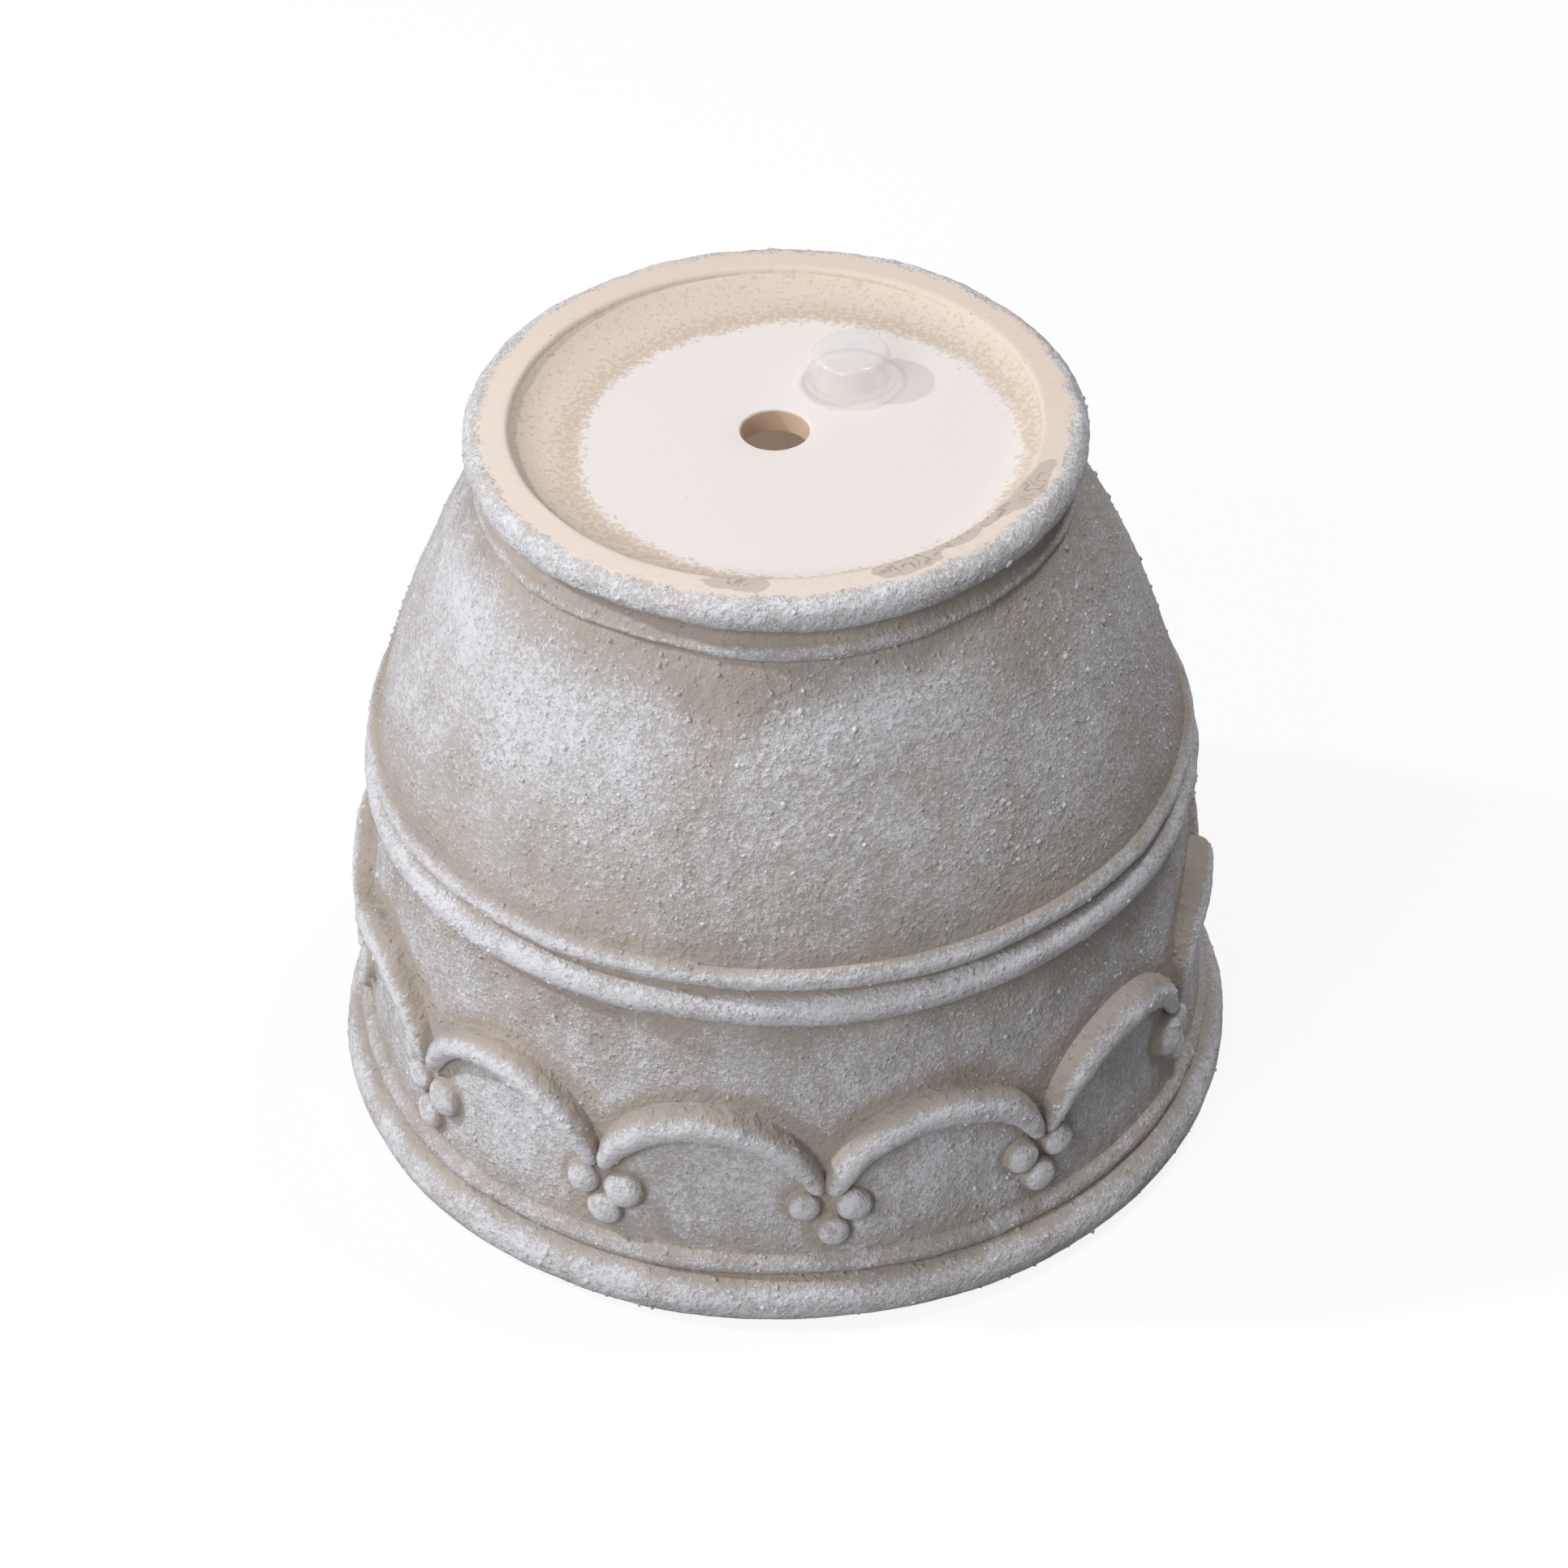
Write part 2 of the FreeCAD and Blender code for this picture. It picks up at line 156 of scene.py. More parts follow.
# Seeds of what is left to chance
BACK_MARK_SEED = 14
PELLET_SEED = 21
CUSP_SEED = 22
WALL_GRAIN_SEED = 31
GRAIN_CLOUD_SEED = 32
ARCH_GRAIN_SEED = 33


def smoothstep(values, low, high):
    """The S-shaped rise 3t^2 - 2t^3 from 0 at low to 1 at high."""
    share = np.clip((values - low) / (high - low), 0, 1)
    return share * share * (3 - 2 * share)


WAVE_COUNT = 32


def unevenness(points, wavelength, seed):
    """A height of about unit size: plane waves of one length with random ways and phases, added up."""
    draw = np.random.default_rng(seed)
    ways = draw.normal(size=(WAVE_COUNT, 3))
    ways *= TURN / wavelength / np.linalg.norm(ways, axis=1, keepdims=True)
    phases = draw.uniform(0, TURN, WAVE_COUNT)
    return np.sin(points @ ways.T + phases).sum(-1) * math.sqrt(2 / WAVE_COUNT)


# Unevenness of the clay as height, wavelength and seed: broad waves, thumb-sized lumps, grit under the coat
CLAY_WAVES = [(0.30 * MM, 75 * MM, 11), (0.12 * MM, 19 * MM, 12), (0.07 * MM, 5.5 * MM, 13)]


def hand_made(points):
    """How far the clay leaves its true form: the sum of its waves."""
    return sum(height * unevenness(points, wavelength, seed) for height, wavelength, seed in CLAY_WAVES)


def round_axis(radius, angle, height):
    """Points, or ways, at a radius and an angle round Z and at a height."""
    return np.stack(np.broadcast_arrays(radius * np.cos(angle), radius * np.sin(angle), height), axis=-1)


# Keeps a step of no length from dividing by zero
SHORTEST = 1e-12


def normals_of(points):
    """Unit normals of a batch of grids: the cross product of the steps along columns and along rows."""
    along_columns = np.roll(points, -1, axis=2) - np.roll(points, 1, axis=2)
    along_rows = np.gradient(points, axis=1)
    ways = np.cross(along_columns, along_rows)
    return ways / np.maximum(np.linalg.norm(ways, axis=-1, keepdims=True), SHORTEST)


def closed_grids(points, layers, looped):
    """Vertices, quads, triangles and vertex layers of a batch of grids, shaped (copies, rows, columns, 3).

    Columns close on themselves. Rows do so too if looped; otherwise each end row is filled by a fan of
    triangles about its mean point.
    """
    copies, rows, columns = points.shape[:3]
    index = np.arange(copies * rows * columns).reshape(copies, rows, columns)
    beside = np.roll(index, -1, axis=2)
    above, above_beside = np.roll(index, -1, axis=1), np.roll(beside, -1, axis=1)
    quads = np.stack([index, beside, above_beside, above], axis=-1)
    vertices = points.reshape(-1, 3)
    flat_layers = {name: layer.reshape(-1) for name, layer in layers.items()}
    if looped:
        return vertices, quads.reshape(-1, 4), np.empty((0, 3), int), flat_layers
    first = index.size + np.arange(copies)[:, None]
    last = first + copies
    start_fan = np.stack(np.broadcast_arrays(first, beside[:, 0], index[:, 0]), axis=-1)
    end_fan = np.stack(np.broadcast_arrays(last, index[:, -1], beside[:, -1]), axis=-1)
    triangles = np.concatenate([start_fan.reshape(-1, 3), end_fan.reshape(-1, 3)])
    vertices = np.concatenate([vertices, points[:, 0].mean(1), points[:, -1].mean(1)])
    for name, layer in layers.items():
        ends = [layer[:, 0].mean(1), layer[:, -1].mean(1)]
        flat_layers[name] = np.concatenate([flat_layers[name], *ends])
    return vertices, quads[:, :-1].reshape(-1, 4), triangles, flat_layers


def add_object(name, data):
    """A new object at the origin of the scene."""
    made = bpy.data.objects.new(name, data)
    bpy.context.scene.collection.objects.link(made)
    return made


def add_piece(name, vertices, quads, triangles, layers, sharp_angle):
    """A mesh object, shaded smooth up to an angle in degrees, with its vertex layers as attributes."""
    mesh = bpy.data.meshes.new(name)
    corners = np.concatenate([quads.ravel(), triangles.ravel()])
    sizes = np.repeat([4, 3], [len(quads), len(triangles)])
    mesh.vertices.add(len(vertices))
    mesh.vertices.foreach_set("co", vertices.astype(np.float32).ravel())
    mesh.loops.add(len(corners))
    mesh.loops.foreach_set("vertex_index", corners.astype(np.int32))
    mesh.polygons.add(len(sizes))
    mesh.polygons.foreach_set("loop_start", (np.cumsum(sizes) - sizes).astype(np.int32))
    mesh.polygons.foreach_set("use_smooth", np.ones(len(sizes), bool))
    mesh.update(calc_edges=True)
    mesh.validate()
    mesh.set_sharp_from_angle(angle=math.radians(sharp_angle))
    for layer, numbers in layers.items():
        attribute = mesh.attributes.new(layer, "FLOAT", "POINT")
        attribute.data.foreach_set("value", numbers.astype(np.float32))
    return add_object(name, mesh)


# The turned wall of the pot

def straight(start, end):
    """No bulge."""
    return 0.0


def swell(bulge):
    """An arc that leaves its chord by a bulge, out of the clay if positive."""
    return lambda start, end: bulge


def rounding(radius):
    """An arc of a radius, less than half a circle, out of the clay if positive."""
    return lambda start, end: math.copysign(
        abs(radius) - math.sqrt(radius ** 2 - (math.dist(start, end) / 2) ** 2), radius)


def arc_points(start, end, bulge, rows):
    """Points from start to just before end on the arc that leaves their chord by bulge to the right.

    With h half of the chord and a = 2 atan(bulge / h), the point at angle b from -a to a lies at
    h sin(b) / sin(a) along the chord from its middle and at h (cos(b) - cos(a)) / sin(a) beside it.
    """
    start, end = np.array(start), np.array(end)
    share = np.linspace(0, 1, rows, endpoint=False)[:, None]
    if bulge == 0:
        return start + share * (end - start)
    half = np.linalg.norm(end - start) / 2
    along = (end - start) / (2 * half)
    beside = np.array([along[1], -along[0]])
    spread = 2 * math.atan(bulge / half)
    angle = (2 * share - 1) * spread
    middle = (start + end) / 2
    return middle + half / math.sin(spread) * (
        along * np.sin(angle) + beside * (np.cos(angle) - math.cos(spread)))


# Bareness of clay that has no coat
BARED = 1.6


def stretch(start, form, rows, white=(0.0, 0.0), bare=(0.0, 0.0), uneven=1.0):
    """A stretch of the outline: its start, form and rows, the share of white brushed on it at even steps,
    how bare the clay is at its two ends, and how uneven it is."""
    return start, form, rows, white, bare, uneven


def inside(start, form, rows, uneven=1.0):
    """A stretch without coat."""
    return stretch(start, form, rows, bare=(BARED, BARED), uneven=uneven)


# White brushed on the tall stretches, at even steps upwards
FRIEZE_WHITE = (0.3, 0.7, 0.8, 0.8, 0.72, 0.68, 0.66, 0.62, 0.5, 0.05)
LOW_BAND_WHITE = (0.7, 1.0, 1.1, 1.1, 1.05, 0.8, 0.25)
TOP_BAND_WHITE = (0.3, 0.85, 1.05, 1.1, 0.9, 0.4, 0.05)
BELLY_WHITE = (0.05, 0.4, 0.48, 0.53, 0.57, 0.63, 0.66, 0.68, 0.68, 0.64, 0.42, 0.05)

# From the rim up the outside, over the foot, down the drain hole and down the inside
OUTLINE = [
    stretch((ROLL_MIDDLE, 0.0), rounding(RIM_ROLL), 9, (0.6, 0.85, 0.9), (0.3, 0.0), 0.5),
    stretch((RIM_RADIUS, RIM_ROLL), rounding(RIM_ROLL), 14, (0.9, 0.9, 0.8, 0.35, 0.05)),
    stretch((CREASE_RADIUS, CREASE_HEIGHT), swell(LEDGE_BULGE), 10, (0.1, 0.5, 0.7, 0.5, 0.3)),
    stretch((FRIEZE_RADIUS, LEDGE_TOP), straight, 42, FRIEZE_WHITE),
    stretch((WAIST_RADIUS, FRIEZE_TOP), swell(LOW_BAND_BULGE), 16, LOW_BAND_WHITE),
    stretch((WAIST_RADIUS, LOW_BAND_TOP), straight, 2, (0.15, 0.15)),
    stretch((WAIST_RADIUS, TOP_BAND_FOOT), swell(TOP_BAND_BULGE), 12, TOP_BAND_WHITE),
    stretch((WAIST_RADIUS, BELLY_FOOT), swell(BELLY_BULGE), 46, BELLY_WHITE),
    stretch((NECK_RADIUS, BELLY_TOP), swell(RING_BULGE), 8, (0.05, 0.55, 0.6, 0.15)),
    stretch((NECK_RADIUS, RING_TOP), swell(-NECK_BULGE), 6, (0.1, 0.1, 0.15), uneven=0.8),
    stretch((NECK_RADIUS, NECK_TOP), swell(UNDER_BULGE), 7, (0.4, 0.8, 0.9)),
    stretch((FOOT_RADIUS, FOOT_WIDEST), rounding(FOOT_ROUND), 10, (0.9, 0.82, 0.6), (-0.6, 0.55)),
    stretch((FOOT_RADIUS - FOOT_ROUND, FOOT_PLANE), straight, 6, (0.55, 0.25, 0.0), (0.55, BARED), 0.35),
    inside((LIP_RADIUS + LIP_ROUND, FOOT_PLANE), rounding(LIP_ROUND), 4, 0.35),
    inside((LIP_RADIUS, LIP_EDGE), rounding(-COVE_RADIUS), 8, 0.15),
    inside((PANEL_EDGE, BASE), straight, 6, 0.0),
    inside((HOLE_RADIUS + HOLE_ROUND, BASE), rounding(HOLE_ROUND), 4, 0.1),
    inside((HOLE_RADIUS, BASE - HOLE_ROUND), straight, 3, 0.3),
    inside((HOLE_RADIUS, FLOOR), straight, 4, 0.5),
    inside((INNER_NECK - INNER_ROUND, FLOOR), rounding(-INNER_ROUND), 4),
    inside((INNER_NECK, FLOOR - INNER_ROUND), swell(-INNER_BULGE), 8),
    inside((INNER_WAIST, BELLY_FOOT), straight, 6),
    stretch((MOUTH_RADIUS, MOUTH_ROUND), rounding(MOUTH_ROUND), 4, (0.0, 0.3), (BARED, 0.6), 0.5),
    stretch((MOUTH_RADIUS + MOUTH_ROUND, 0.0), straight, 3, (0.3, 0.5), (0.6, 0.3), 0.0),
]
WALL_COLUMNS = 400


def trace_outline():
    """Rows of the outline: radius and height, white, bareness and unevenness."""
    points, white, bare, uneven = [], [], [], []
    for number, (start, form, rows, amounts, bares, amount) in enumerate(OUTLINE):
        end = OUTLINE[(number + 1) % len(OUTLINE)][0]
        share = np.linspace(0, 1, rows, endpoint=False)
        points.append(arc_points(start, end, form(start, end), rows))
        white.append(np.interp(share, np.linspace(0, 1, len(amounts)), amounts))
        bare.append(bares[0] + share * (bares[1] - bares[0]))
        uneven.append(np.full(rows, amount))
    return [np.concatenate(stretches) for stretches in (points, white, bare, uneven)]


def wall_radius(height):
    """Outside of the plain frieze wall, a cone, at a height."""
    return FRIEZE_RADIUS - (height - LEDGE_TOP) * WALL_SLOPE


ARCH_SPAN = math.pi * wall_radius(TIPS) / ARCH_COUNT - TIP_CLEAR
ARCH_REACH = (ARCH_SPAN ** 2 + ARCH_RISE ** 2) / (2 * ARCH_RISE)
ARCH_MIDDLE = TIPS + ARCH_RISE - ARCH_REACH


def pellet_places(middle):
    """Angle and height of the three pellets of the cluster whose middle is at an angle."""
    upper = TIPS - PELLET_DROP
    aside = PELLET_SPREAD / wall_radius(upper)
    return [(middle - aside, upper), (middle + aside, upper), (middle, upper - PELLET_FALL)]


def clear_of_relief(angle, height):
    """Distance on the frieze wall to the nearest arch or pellet, double inside an arch and off a pellet.

    On the wall laid flat an arch is a circle about its middle, ended at its tips, and a pellet is a disc.
    """
    turned = (angle - FIRST_CLUSTER) % ARCH_PITCH
    from_arch = np.abs(turned - ARCH_PITCH / 2) * wall_radius(height)
    from_middle = np.hypot(from_arch, height - ARCH_MIDDLE) - ARCH_REACH
    ring = np.where(from_middle > 0, from_middle, -2 * from_middle) - ARCH_CROWN
    tip = np.hypot(from_arch - ARCH_SPAN, height - TIPS) - ARCH_TIP
    clear = np.where(height > TIPS, ring, tip)
    for middle in (0, ARCH_PITCH):
        for place, level in pellet_places(middle):
            gap = np.hypot((turned - place) * wall_radius(height), height - level) - PELLET_RADIUS
            clear = np.minimum(clear, gap * 2)
    return clear


# Spots of more or less white on the belly, most where the brush pressed harder or missed: degrees round the
#  pot, height, reach round the pot in degrees and up, and white
BRUSH_MARKS = [
    (-131, 200 * MM, 17, 19 * MM, 0.26),
    (-73, 213 * MM, 16, 12 * MM, 0.34),
    (-101, 206 * MM, 7, 22 * MM, -0.26),
    # Less white, so darker, in front just under the foot ring
    (-98, 221 * MM, 11, 7 * MM, -0.5),
    (-40, 211 * MM, 14, 12 * MM, -0.34),
    (-112, 163 * MM, 9, 12 * MM, -0.08),
    (-57, 152 * MM, 10, 8 * MM, -0.16),
    (-40, 172 * MM, 9, 16 * MM, 0.12),
]
# Random marks behind: how many, limits of their place and reach in degrees and of their reach up in mm, and
# the white of those that missed and those that pressed
BACK_MARKS = 16
BACK_SIDE = (-15, 200)
BACK_WIDE = (7, 17)
BACK_TALL = (9, 20)
BACK_WHITE = (-0.3, 0.28)


def degrees_apart(angle, middle):
    """Degrees from a middle, itself in degrees, to angles, the short way round."""
    return (np.degrees(angle) - middle + 180) % 360 - 180


def brush_marks(angle, height):
    """White added on the belly by soft spots, exp(-(distance / reach)^2): set in front, random behind."""
    draw = np.random.default_rng(BACK_MARK_SEED)
    marks = list(BRUSH_MARKS)
    for _ in range(BACK_MARKS):
        side, level = draw.uniform(*BACK_SIDE), draw.uniform(BELLY_FOOT, BELLY_TOP)
        wide, tall = draw.uniform(*BACK_WIDE), draw.uniform(*BACK_TALL) * MM
        marks.append((side, level, wide, tall, draw.choice(BACK_WHITE)))
    added = np.zeros(np.broadcast_shapes(angle.shape, height.shape))
    for middle, level, wide, tall, amount in marks:
        apart = degrees_apart(angle, middle)
        added += amount * np.exp(-(apart / wide) ** 2 - ((height - level) / tall) ** 2)
    return added


# Grey smears of coat on the foot ring: degrees round the pot and their reach, radius and its reach
FOOT_SMEARS = [
    (-98, 8, 86 * MM, 5 * MM),
    (-63, 9, 86 * MM, 6 * MM),
    (-50, 8, 85 * MM, 3.5 * MM),
    (-38, 8, 85 * MM, 3 * MM),
    (-26, 10, 88 * MM, 4.5 * MM),
]


def foot_smears(angle, radius):
    """Share of smeared coat on the foot ring: soft spots, exp(-(distance / reach)^2)."""
    share = np.zeros(np.broadcast_shapes(angle.shape, radius.shape))
    for middle, wide, ring, deep in FOOT_SMEARS:
        apart = degrees_apart(angle, middle)
        share = np.maximum(share, np.exp(-(apart / wide) ** 2 - ((radius - ring) / deep) ** 2))
    return share


# Over which distance from the relief the white comes back, and how far over the base smears start
RELIEF_MARGIN = (1 * MM, 9 * MM)
SMEAR_CLEAR = 1 * MM


def turned_wall():
    """The pot as one closed surface: the outline turned about Z, each point moved out by hand_made."""
    outline, white, bare, uneven = trace_outline()
    angle = np.linspace(0, TURN, WALL_COLUMNS, endpoint=False)
    radius, height = outline[:, :1], outline[:, 1:]
    points = round_axis(radius, angle, height)
    slope = np.roll(outline, -1, axis=0) - np.roll(outline, 1, axis=0)
    slope /= np.linalg.norm(slope, axis=1, keepdims=True)
    outward = round_axis(slope[:, 1:], angle, -slope[:, :1])
    points = points + outward * (uneven[:, None] * hand_made(points))[..., None]
    points = np.clip(points, POT_LOW, POT_HIGH)
    coated = bare[:, None] < 1
    on_frieze = coated & (height > LEDGE_TOP) & (height < FRIEZE_TOP)
    on_belly = coated & (height > BELLY_FOOT) & (height < BELLY_TOP)
    by_relief = on_frieze * (1 - smoothstep(clear_of_relief(angle, height), *RELIEF_MARGIN))
    white = white[:, None] * (1 - by_relief)
    white = np.clip(white + on_belly * brush_marks(angle, height), 0, 1)
    smear = foot_smears(angle, radius) * (height > BASE + SMEAR_CLEAR)
    layers = {"white": white, "bare": np.broadcast_to(bare[:, None], white.shape), "smear": smear}
    return points[None], {name: layer[None] for name, layer in layers.items()}


# The relief of the frieze

def out_and_round(angle):
    """Unit vectors at an angle round the pot: square to the frieze wall, and level along it."""
    out = round_axis(1.0, angle, WALL_SLOPE)
    around = np.stack([-np.sin(angle), np.cos(angle), np.zeros_like(angle)], axis=-1)
    return out / np.linalg.norm(out, axis=-1, keepdims=True), around


def wall_points(angle, height):
    """Points on the frieze wall."""
    return round_axis(wall_radius(height), angle, height)


def coat_layers(white):
    """Vertex layers of a surface that is coated all over, with its white."""
    return {"white": white, "bare": np.zeros(white.shape), "smear": np.zeros(white.shape)}


# White on an arch, and the angles between which it comes and goes round the section: 0 faces the rim
ARCH_WHITE = 1.1
ARCH_WHITE_COMES = (math.radians(-40), math.radians(20))
ARCH_WHITE_GOES = (math.radians(98), math.radians(160))


def arch_section(points):
    """Section of an arch as (towards the rim, out of the wall), in units of its radius, and its white.

    Three quarters are a circle. The quarter on the foot side, below the middle, runs out in a hollow
    curve x = -1 - flare s^2, y = -s, so that the arch grows out of the wall there.
    """
    angle = np.linspace(-TURN / 4, TURN / 2, points - points // 4, endpoint=False)
    fall = np.linspace(0, 1, points // 4)
    across = np.concatenate([np.cos(angle), -1 - ARCH_FLARE * fall ** 2])
    out = np.concatenate([np.sin(angle), -fall])
    facing = np.concatenate([angle, np.full(len(fall), TURN / 2)])
    white = ARCH_WHITE * smoothstep(facing, *ARCH_WHITE_COMES)
    white = white * (1 - smoothstep(facing, *ARCH_WHITE_GOES))
    return across, out, white


ARCH_STATIONS = 110
ARCH_SECTION_POINTS = 36
ARCH_UNEVEN = 1.5
# Cusps between the arches that are given one by one, counted from the first: moved round the pot and up, mm
CUSP_SHIFTS = {-2: (-2.4, 0.8), -1: (-1.5, 1.0), 0: (-0.5, -0.9), 1: (2.2, -0.8), 2: (3.4, -0.1)}
CUSP_SPREAD = (1.4 * MM, 0.8 * MM)


def cusp_shifts():
    """How far each cusp is out of its even place, round the pot and up: set in front, random behind."""
    draw = np.random.default_rng(CUSP_SEED)
    shifts = draw.normal(0, CUSP_SPREAD, (ARCH_COUNT, 2))
    for number, shift in CUSP_SHIFTS.items():
        shifts[number] = np.array(shift) * MM
    return shifts


def arches():
    """All arches: the section carried along an arc on the wall, swelling from tip to crown as sqrt(sin).

    The arc is sheared so that its tips follow their cusps.
    """
    share = np.linspace(0, 1, ARCH_STATIONS)
    start = math.asin((ARCH_REACH - ARCH_RISE) / ARCH_REACH)
    turn = start + share * (math.pi - 2 * start)
    even_height = ARCH_MIDDLE + ARCH_REACH * np.sin(turn)
    swelling = np.sqrt(np.abs(np.sin(math.pi * share)))
    size = (ARCH_TIP + (ARCH_CROWN - ARCH_TIP) * swelling)[:, None, None]
    lift = (TIP_LIFT + (ARCH_LIFT - TIP_LIFT) * swelling)[:, None, None]
    across, out, white = arch_section(ARCH_SECTION_POINTS)
    shifts = cusp_shifts()
    batch = []
    for number in range(ARCH_COUNT):
        near, far = shifts[number], shifts[(number + 1) % ARCH_COUNT]
        shift = near + (1 - share)[:, None] * (far - near)
        height = even_height + shift[:, 1]
        angle = FIRST_ARCH + number * ARCH_PITCH
        angle = angle + (ARCH_REACH * np.cos(turn) + shift[:, 0]) / wall_radius(height)
        outward, around = out_and_round(angle)
        upward = np.cross(outward, around)
        to_rim = -np.cos(turn)[:, None] * around - np.sin(turn)[:, None] * upward
        batch.append(wall_points(angle, height)[:, None]
                     + outward[:, None] * (lift + size * out[:, None])
                     + to_rim[:, None] * (size * across[:, None]))
    points = np.stack(batch)
    points = points + normals_of(points) * (ARCH_UNEVEN * hand_made(points))[..., None]
    return points, coat_layers(np.broadcast_to(white, points.shape[:3]))


PELLET_ROWS = 16
PELLET_COLUMNS = 30
PELLET_POLE = 0.1
PELLET_FLARE = 0.6
PELLET_SINK = 2.5 * PELLET_LIFT
# What is left to chance in a pellet: the spread of its angle and height, and the limits of its size
PELLET_TURNS = 0.004
PELLET_SHIFT = 0.45 * MM
PELLET_SIZE = (0.94, 1.1)
# Pellets set out of line one by one, counted from the first: moved round the pot and up, mm
PELLET_SHIFTS = {2: (2.6, 0.3), -1: (1.0, 1.6), 6: (4.0, 0.5), 8: (3.0, 1.5)}
# Sizes of those that aren't like the rest
PELLET_SIZES = {1: 1.1, 3: 1.15, 4: 1.12, 5: 1.15, 6: 1.45, -5: 1.3, -4: 1.1, -3: 1.08, -2: 1.28, -1: 1.15}
# How far up a pellet the white comes, how white it is, and how much less on the side of the foot
PELLET_WHITE_RISE = (0.15 * PELLET_RISE, 0.75 * PELLET_RISE)
PELLET_WHITE = 1.15
PELLET_SHADE = 0.3


def pellets():
    """Clusters of three pellets under the cusps: domes whose foot runs out into the wall.

    A dome of radius R and height H is R sin(a) wide at the height H cos(a), for a from pole to edge. Below
    it a foot, R (1 + flare s^2) wide, goes down into the wall.
    """
    draw = np.random.default_rng(PELLET_SEED)
    middles = FIRST_CLUSTER + ARCH_PITCH * np.arange(ARCH_COUNT)
    angle, height = np.array([pellet_places(middle) for middle in middles]).reshape(-1, 2).T
    count = len(angle)
    angle = angle + draw.normal(0, PELLET_TURNS, count)
    height = height + draw.normal(0, PELLET_SHIFT, count)
    for number, (round_shift, up_shift) in PELLET_SHIFTS.items():
        angle[number] += round_shift * MM / FRIEZE_RADIUS
        height[number] += up_shift * MM
    size = draw.uniform(*PELLET_SIZE, (count, 1, 1, 1))
    for number, times in PELLET_SIZES.items():
        size[number] = times
    foot_rows = PELLET_ROWS // 4
    polar = np.linspace(TURN / 4, PELLET_POLE, PELLET_ROWS - foot_rows)
    fall = np.linspace(1, 0, foot_rows, endpoint=False)
    width = PELLET_RADIUS * np.concatenate([1 + PELLET_FLARE * fall ** 2, np.sin(polar)])
    rise = np.concatenate([-PELLET_SINK * fall, PELLET_RISE * np.cos(polar)])
    ring = np.linspace(0, TURN, PELLET_COLUMNS, endpoint=False)
    outward, around = (vectors[:, None, None] for vectors in out_and_round(angle))
    upward = np.cross(outward, around)
    spread = around * np.cos(ring)[:, None] + upward * np.sin(ring)[:, None]
    points = wall_points(angle, height)[:, None, None] + outward * PELLET_LIFT
    points = points + size * (spread * width[:, None, None] + outward * rise[:, None, None])
    points = points + normals_of(points) * hand_made(points)[..., None]
    white = smoothstep(rise, *PELLET_WHITE_RISE)[:, None] * (PELLET_WHITE - PELLET_SHADE * np.sin(ring))
    return points, coat_layers(np.broadcast_to(white, points.shape[:3]))


# Grains of sand in the coat

WALL_GRAINS = 8000
ARCH_GRAINS = 1100
# Radius of a usual grain in mm, the spread of its logarithm, and the smallest and largest radius
GRAIN_USUAL = 0.42
GRAIN_SPREAD = 0.5
GRAIN_LIMITS = (0.18, 1.15)
# As shares of the radius: limits of its corners and of its axes, and how deep it is sunk
GRAIN_CORNER_LENGTHS = (0.75, 1.3)
GRAIN_AXIS_LENGTHS = (0.7, 1.25)
GRAIN_SINK = 0.25
# How much whiter it is than the coat round it
GRAIN_TINT = (0.1, 0.5)
# How thickly grains lie: everywhere, how much more on the belly from a margin at its foot on, and in clouds
GRAINS_EVERYWHERE = 0.45
GRAINS_ON_BELLY = 0.55
GRAIN_MARGIN = 12 * MM
GRAIN_CLOUDS = 0.9
GRAIN_CLOUD_SIZE = 70 * MM
# Where they stop: how bare the clay is, and how near the table
GRAIN_BAREST = 0.2
GRAIN_LOWEST = 1.5 * MM
# An icosahedron
GOLDEN = (1 + math.sqrt(5)) / 2
GRAIN_CORNERS = np.array(
    [(-1, GOLDEN, 0), (1, GOLDEN, 0), (-1, -GOLDEN, 0), (1, -GOLDEN, 0),
     (0, -1, GOLDEN), (0, 1, GOLDEN), (0, -1, -GOLDEN), (0, 1, -GOLDEN),
     (GOLDEN, 0, -1), (GOLDEN, 0, 1), (-GOLDEN, 0, -1), (-GOLDEN, 0, 1)])
GRAIN_FACES = np.array(
    [(0, 11, 5), (0, 5, 1), (0, 1, 7), (0, 7, 10), (0, 10, 11),
     (1, 5, 9), (5, 11, 4), (11, 10, 2), (10, 7, 6), (7, 1, 8),
     (3, 9, 4), (3, 4, 2), (3, 2, 6), (3, 6, 8), (3, 8, 9),
     (4, 9, 5), (2, 4, 11), (6, 2, 10), (8, 6, 7), (9, 8, 1)])


def coated_area(grids, layers, looped):
    """Area of each cell of a batch of grids times how thickly grains lie there, none on bare clay."""
    step_round = np.roll(grids, -1, axis=2) - grids
    step_up = np.roll(grids, -1, axis=1) - grids
    area = np.linalg.norm(np.cross(step_round, step_up), axis=-1)
    if not looped:
        area[:, -1] = 0
    height = grids[..., 2]
    belly = smoothstep(height, BELLY_FOOT, BELLY_FOOT + GRAIN_MARGIN)
    belly = belly * (1 - smoothstep(height, BELLY_TOP, RING_TOP))
    clouds = np.exp(GRAIN_CLOUDS * unevenness(grids, GRAIN_CLOUD_SIZE, GRAIN_CLOUD_SEED))
    density = (GRAINS_EVERYWHERE + GRAINS_ON_BELLY * belly) * clouds
    coated = (layers["bare"] < GRAIN_BAREST) * (height > GRAIN_LOWEST)
    return area * density * coated, step_round, step_up


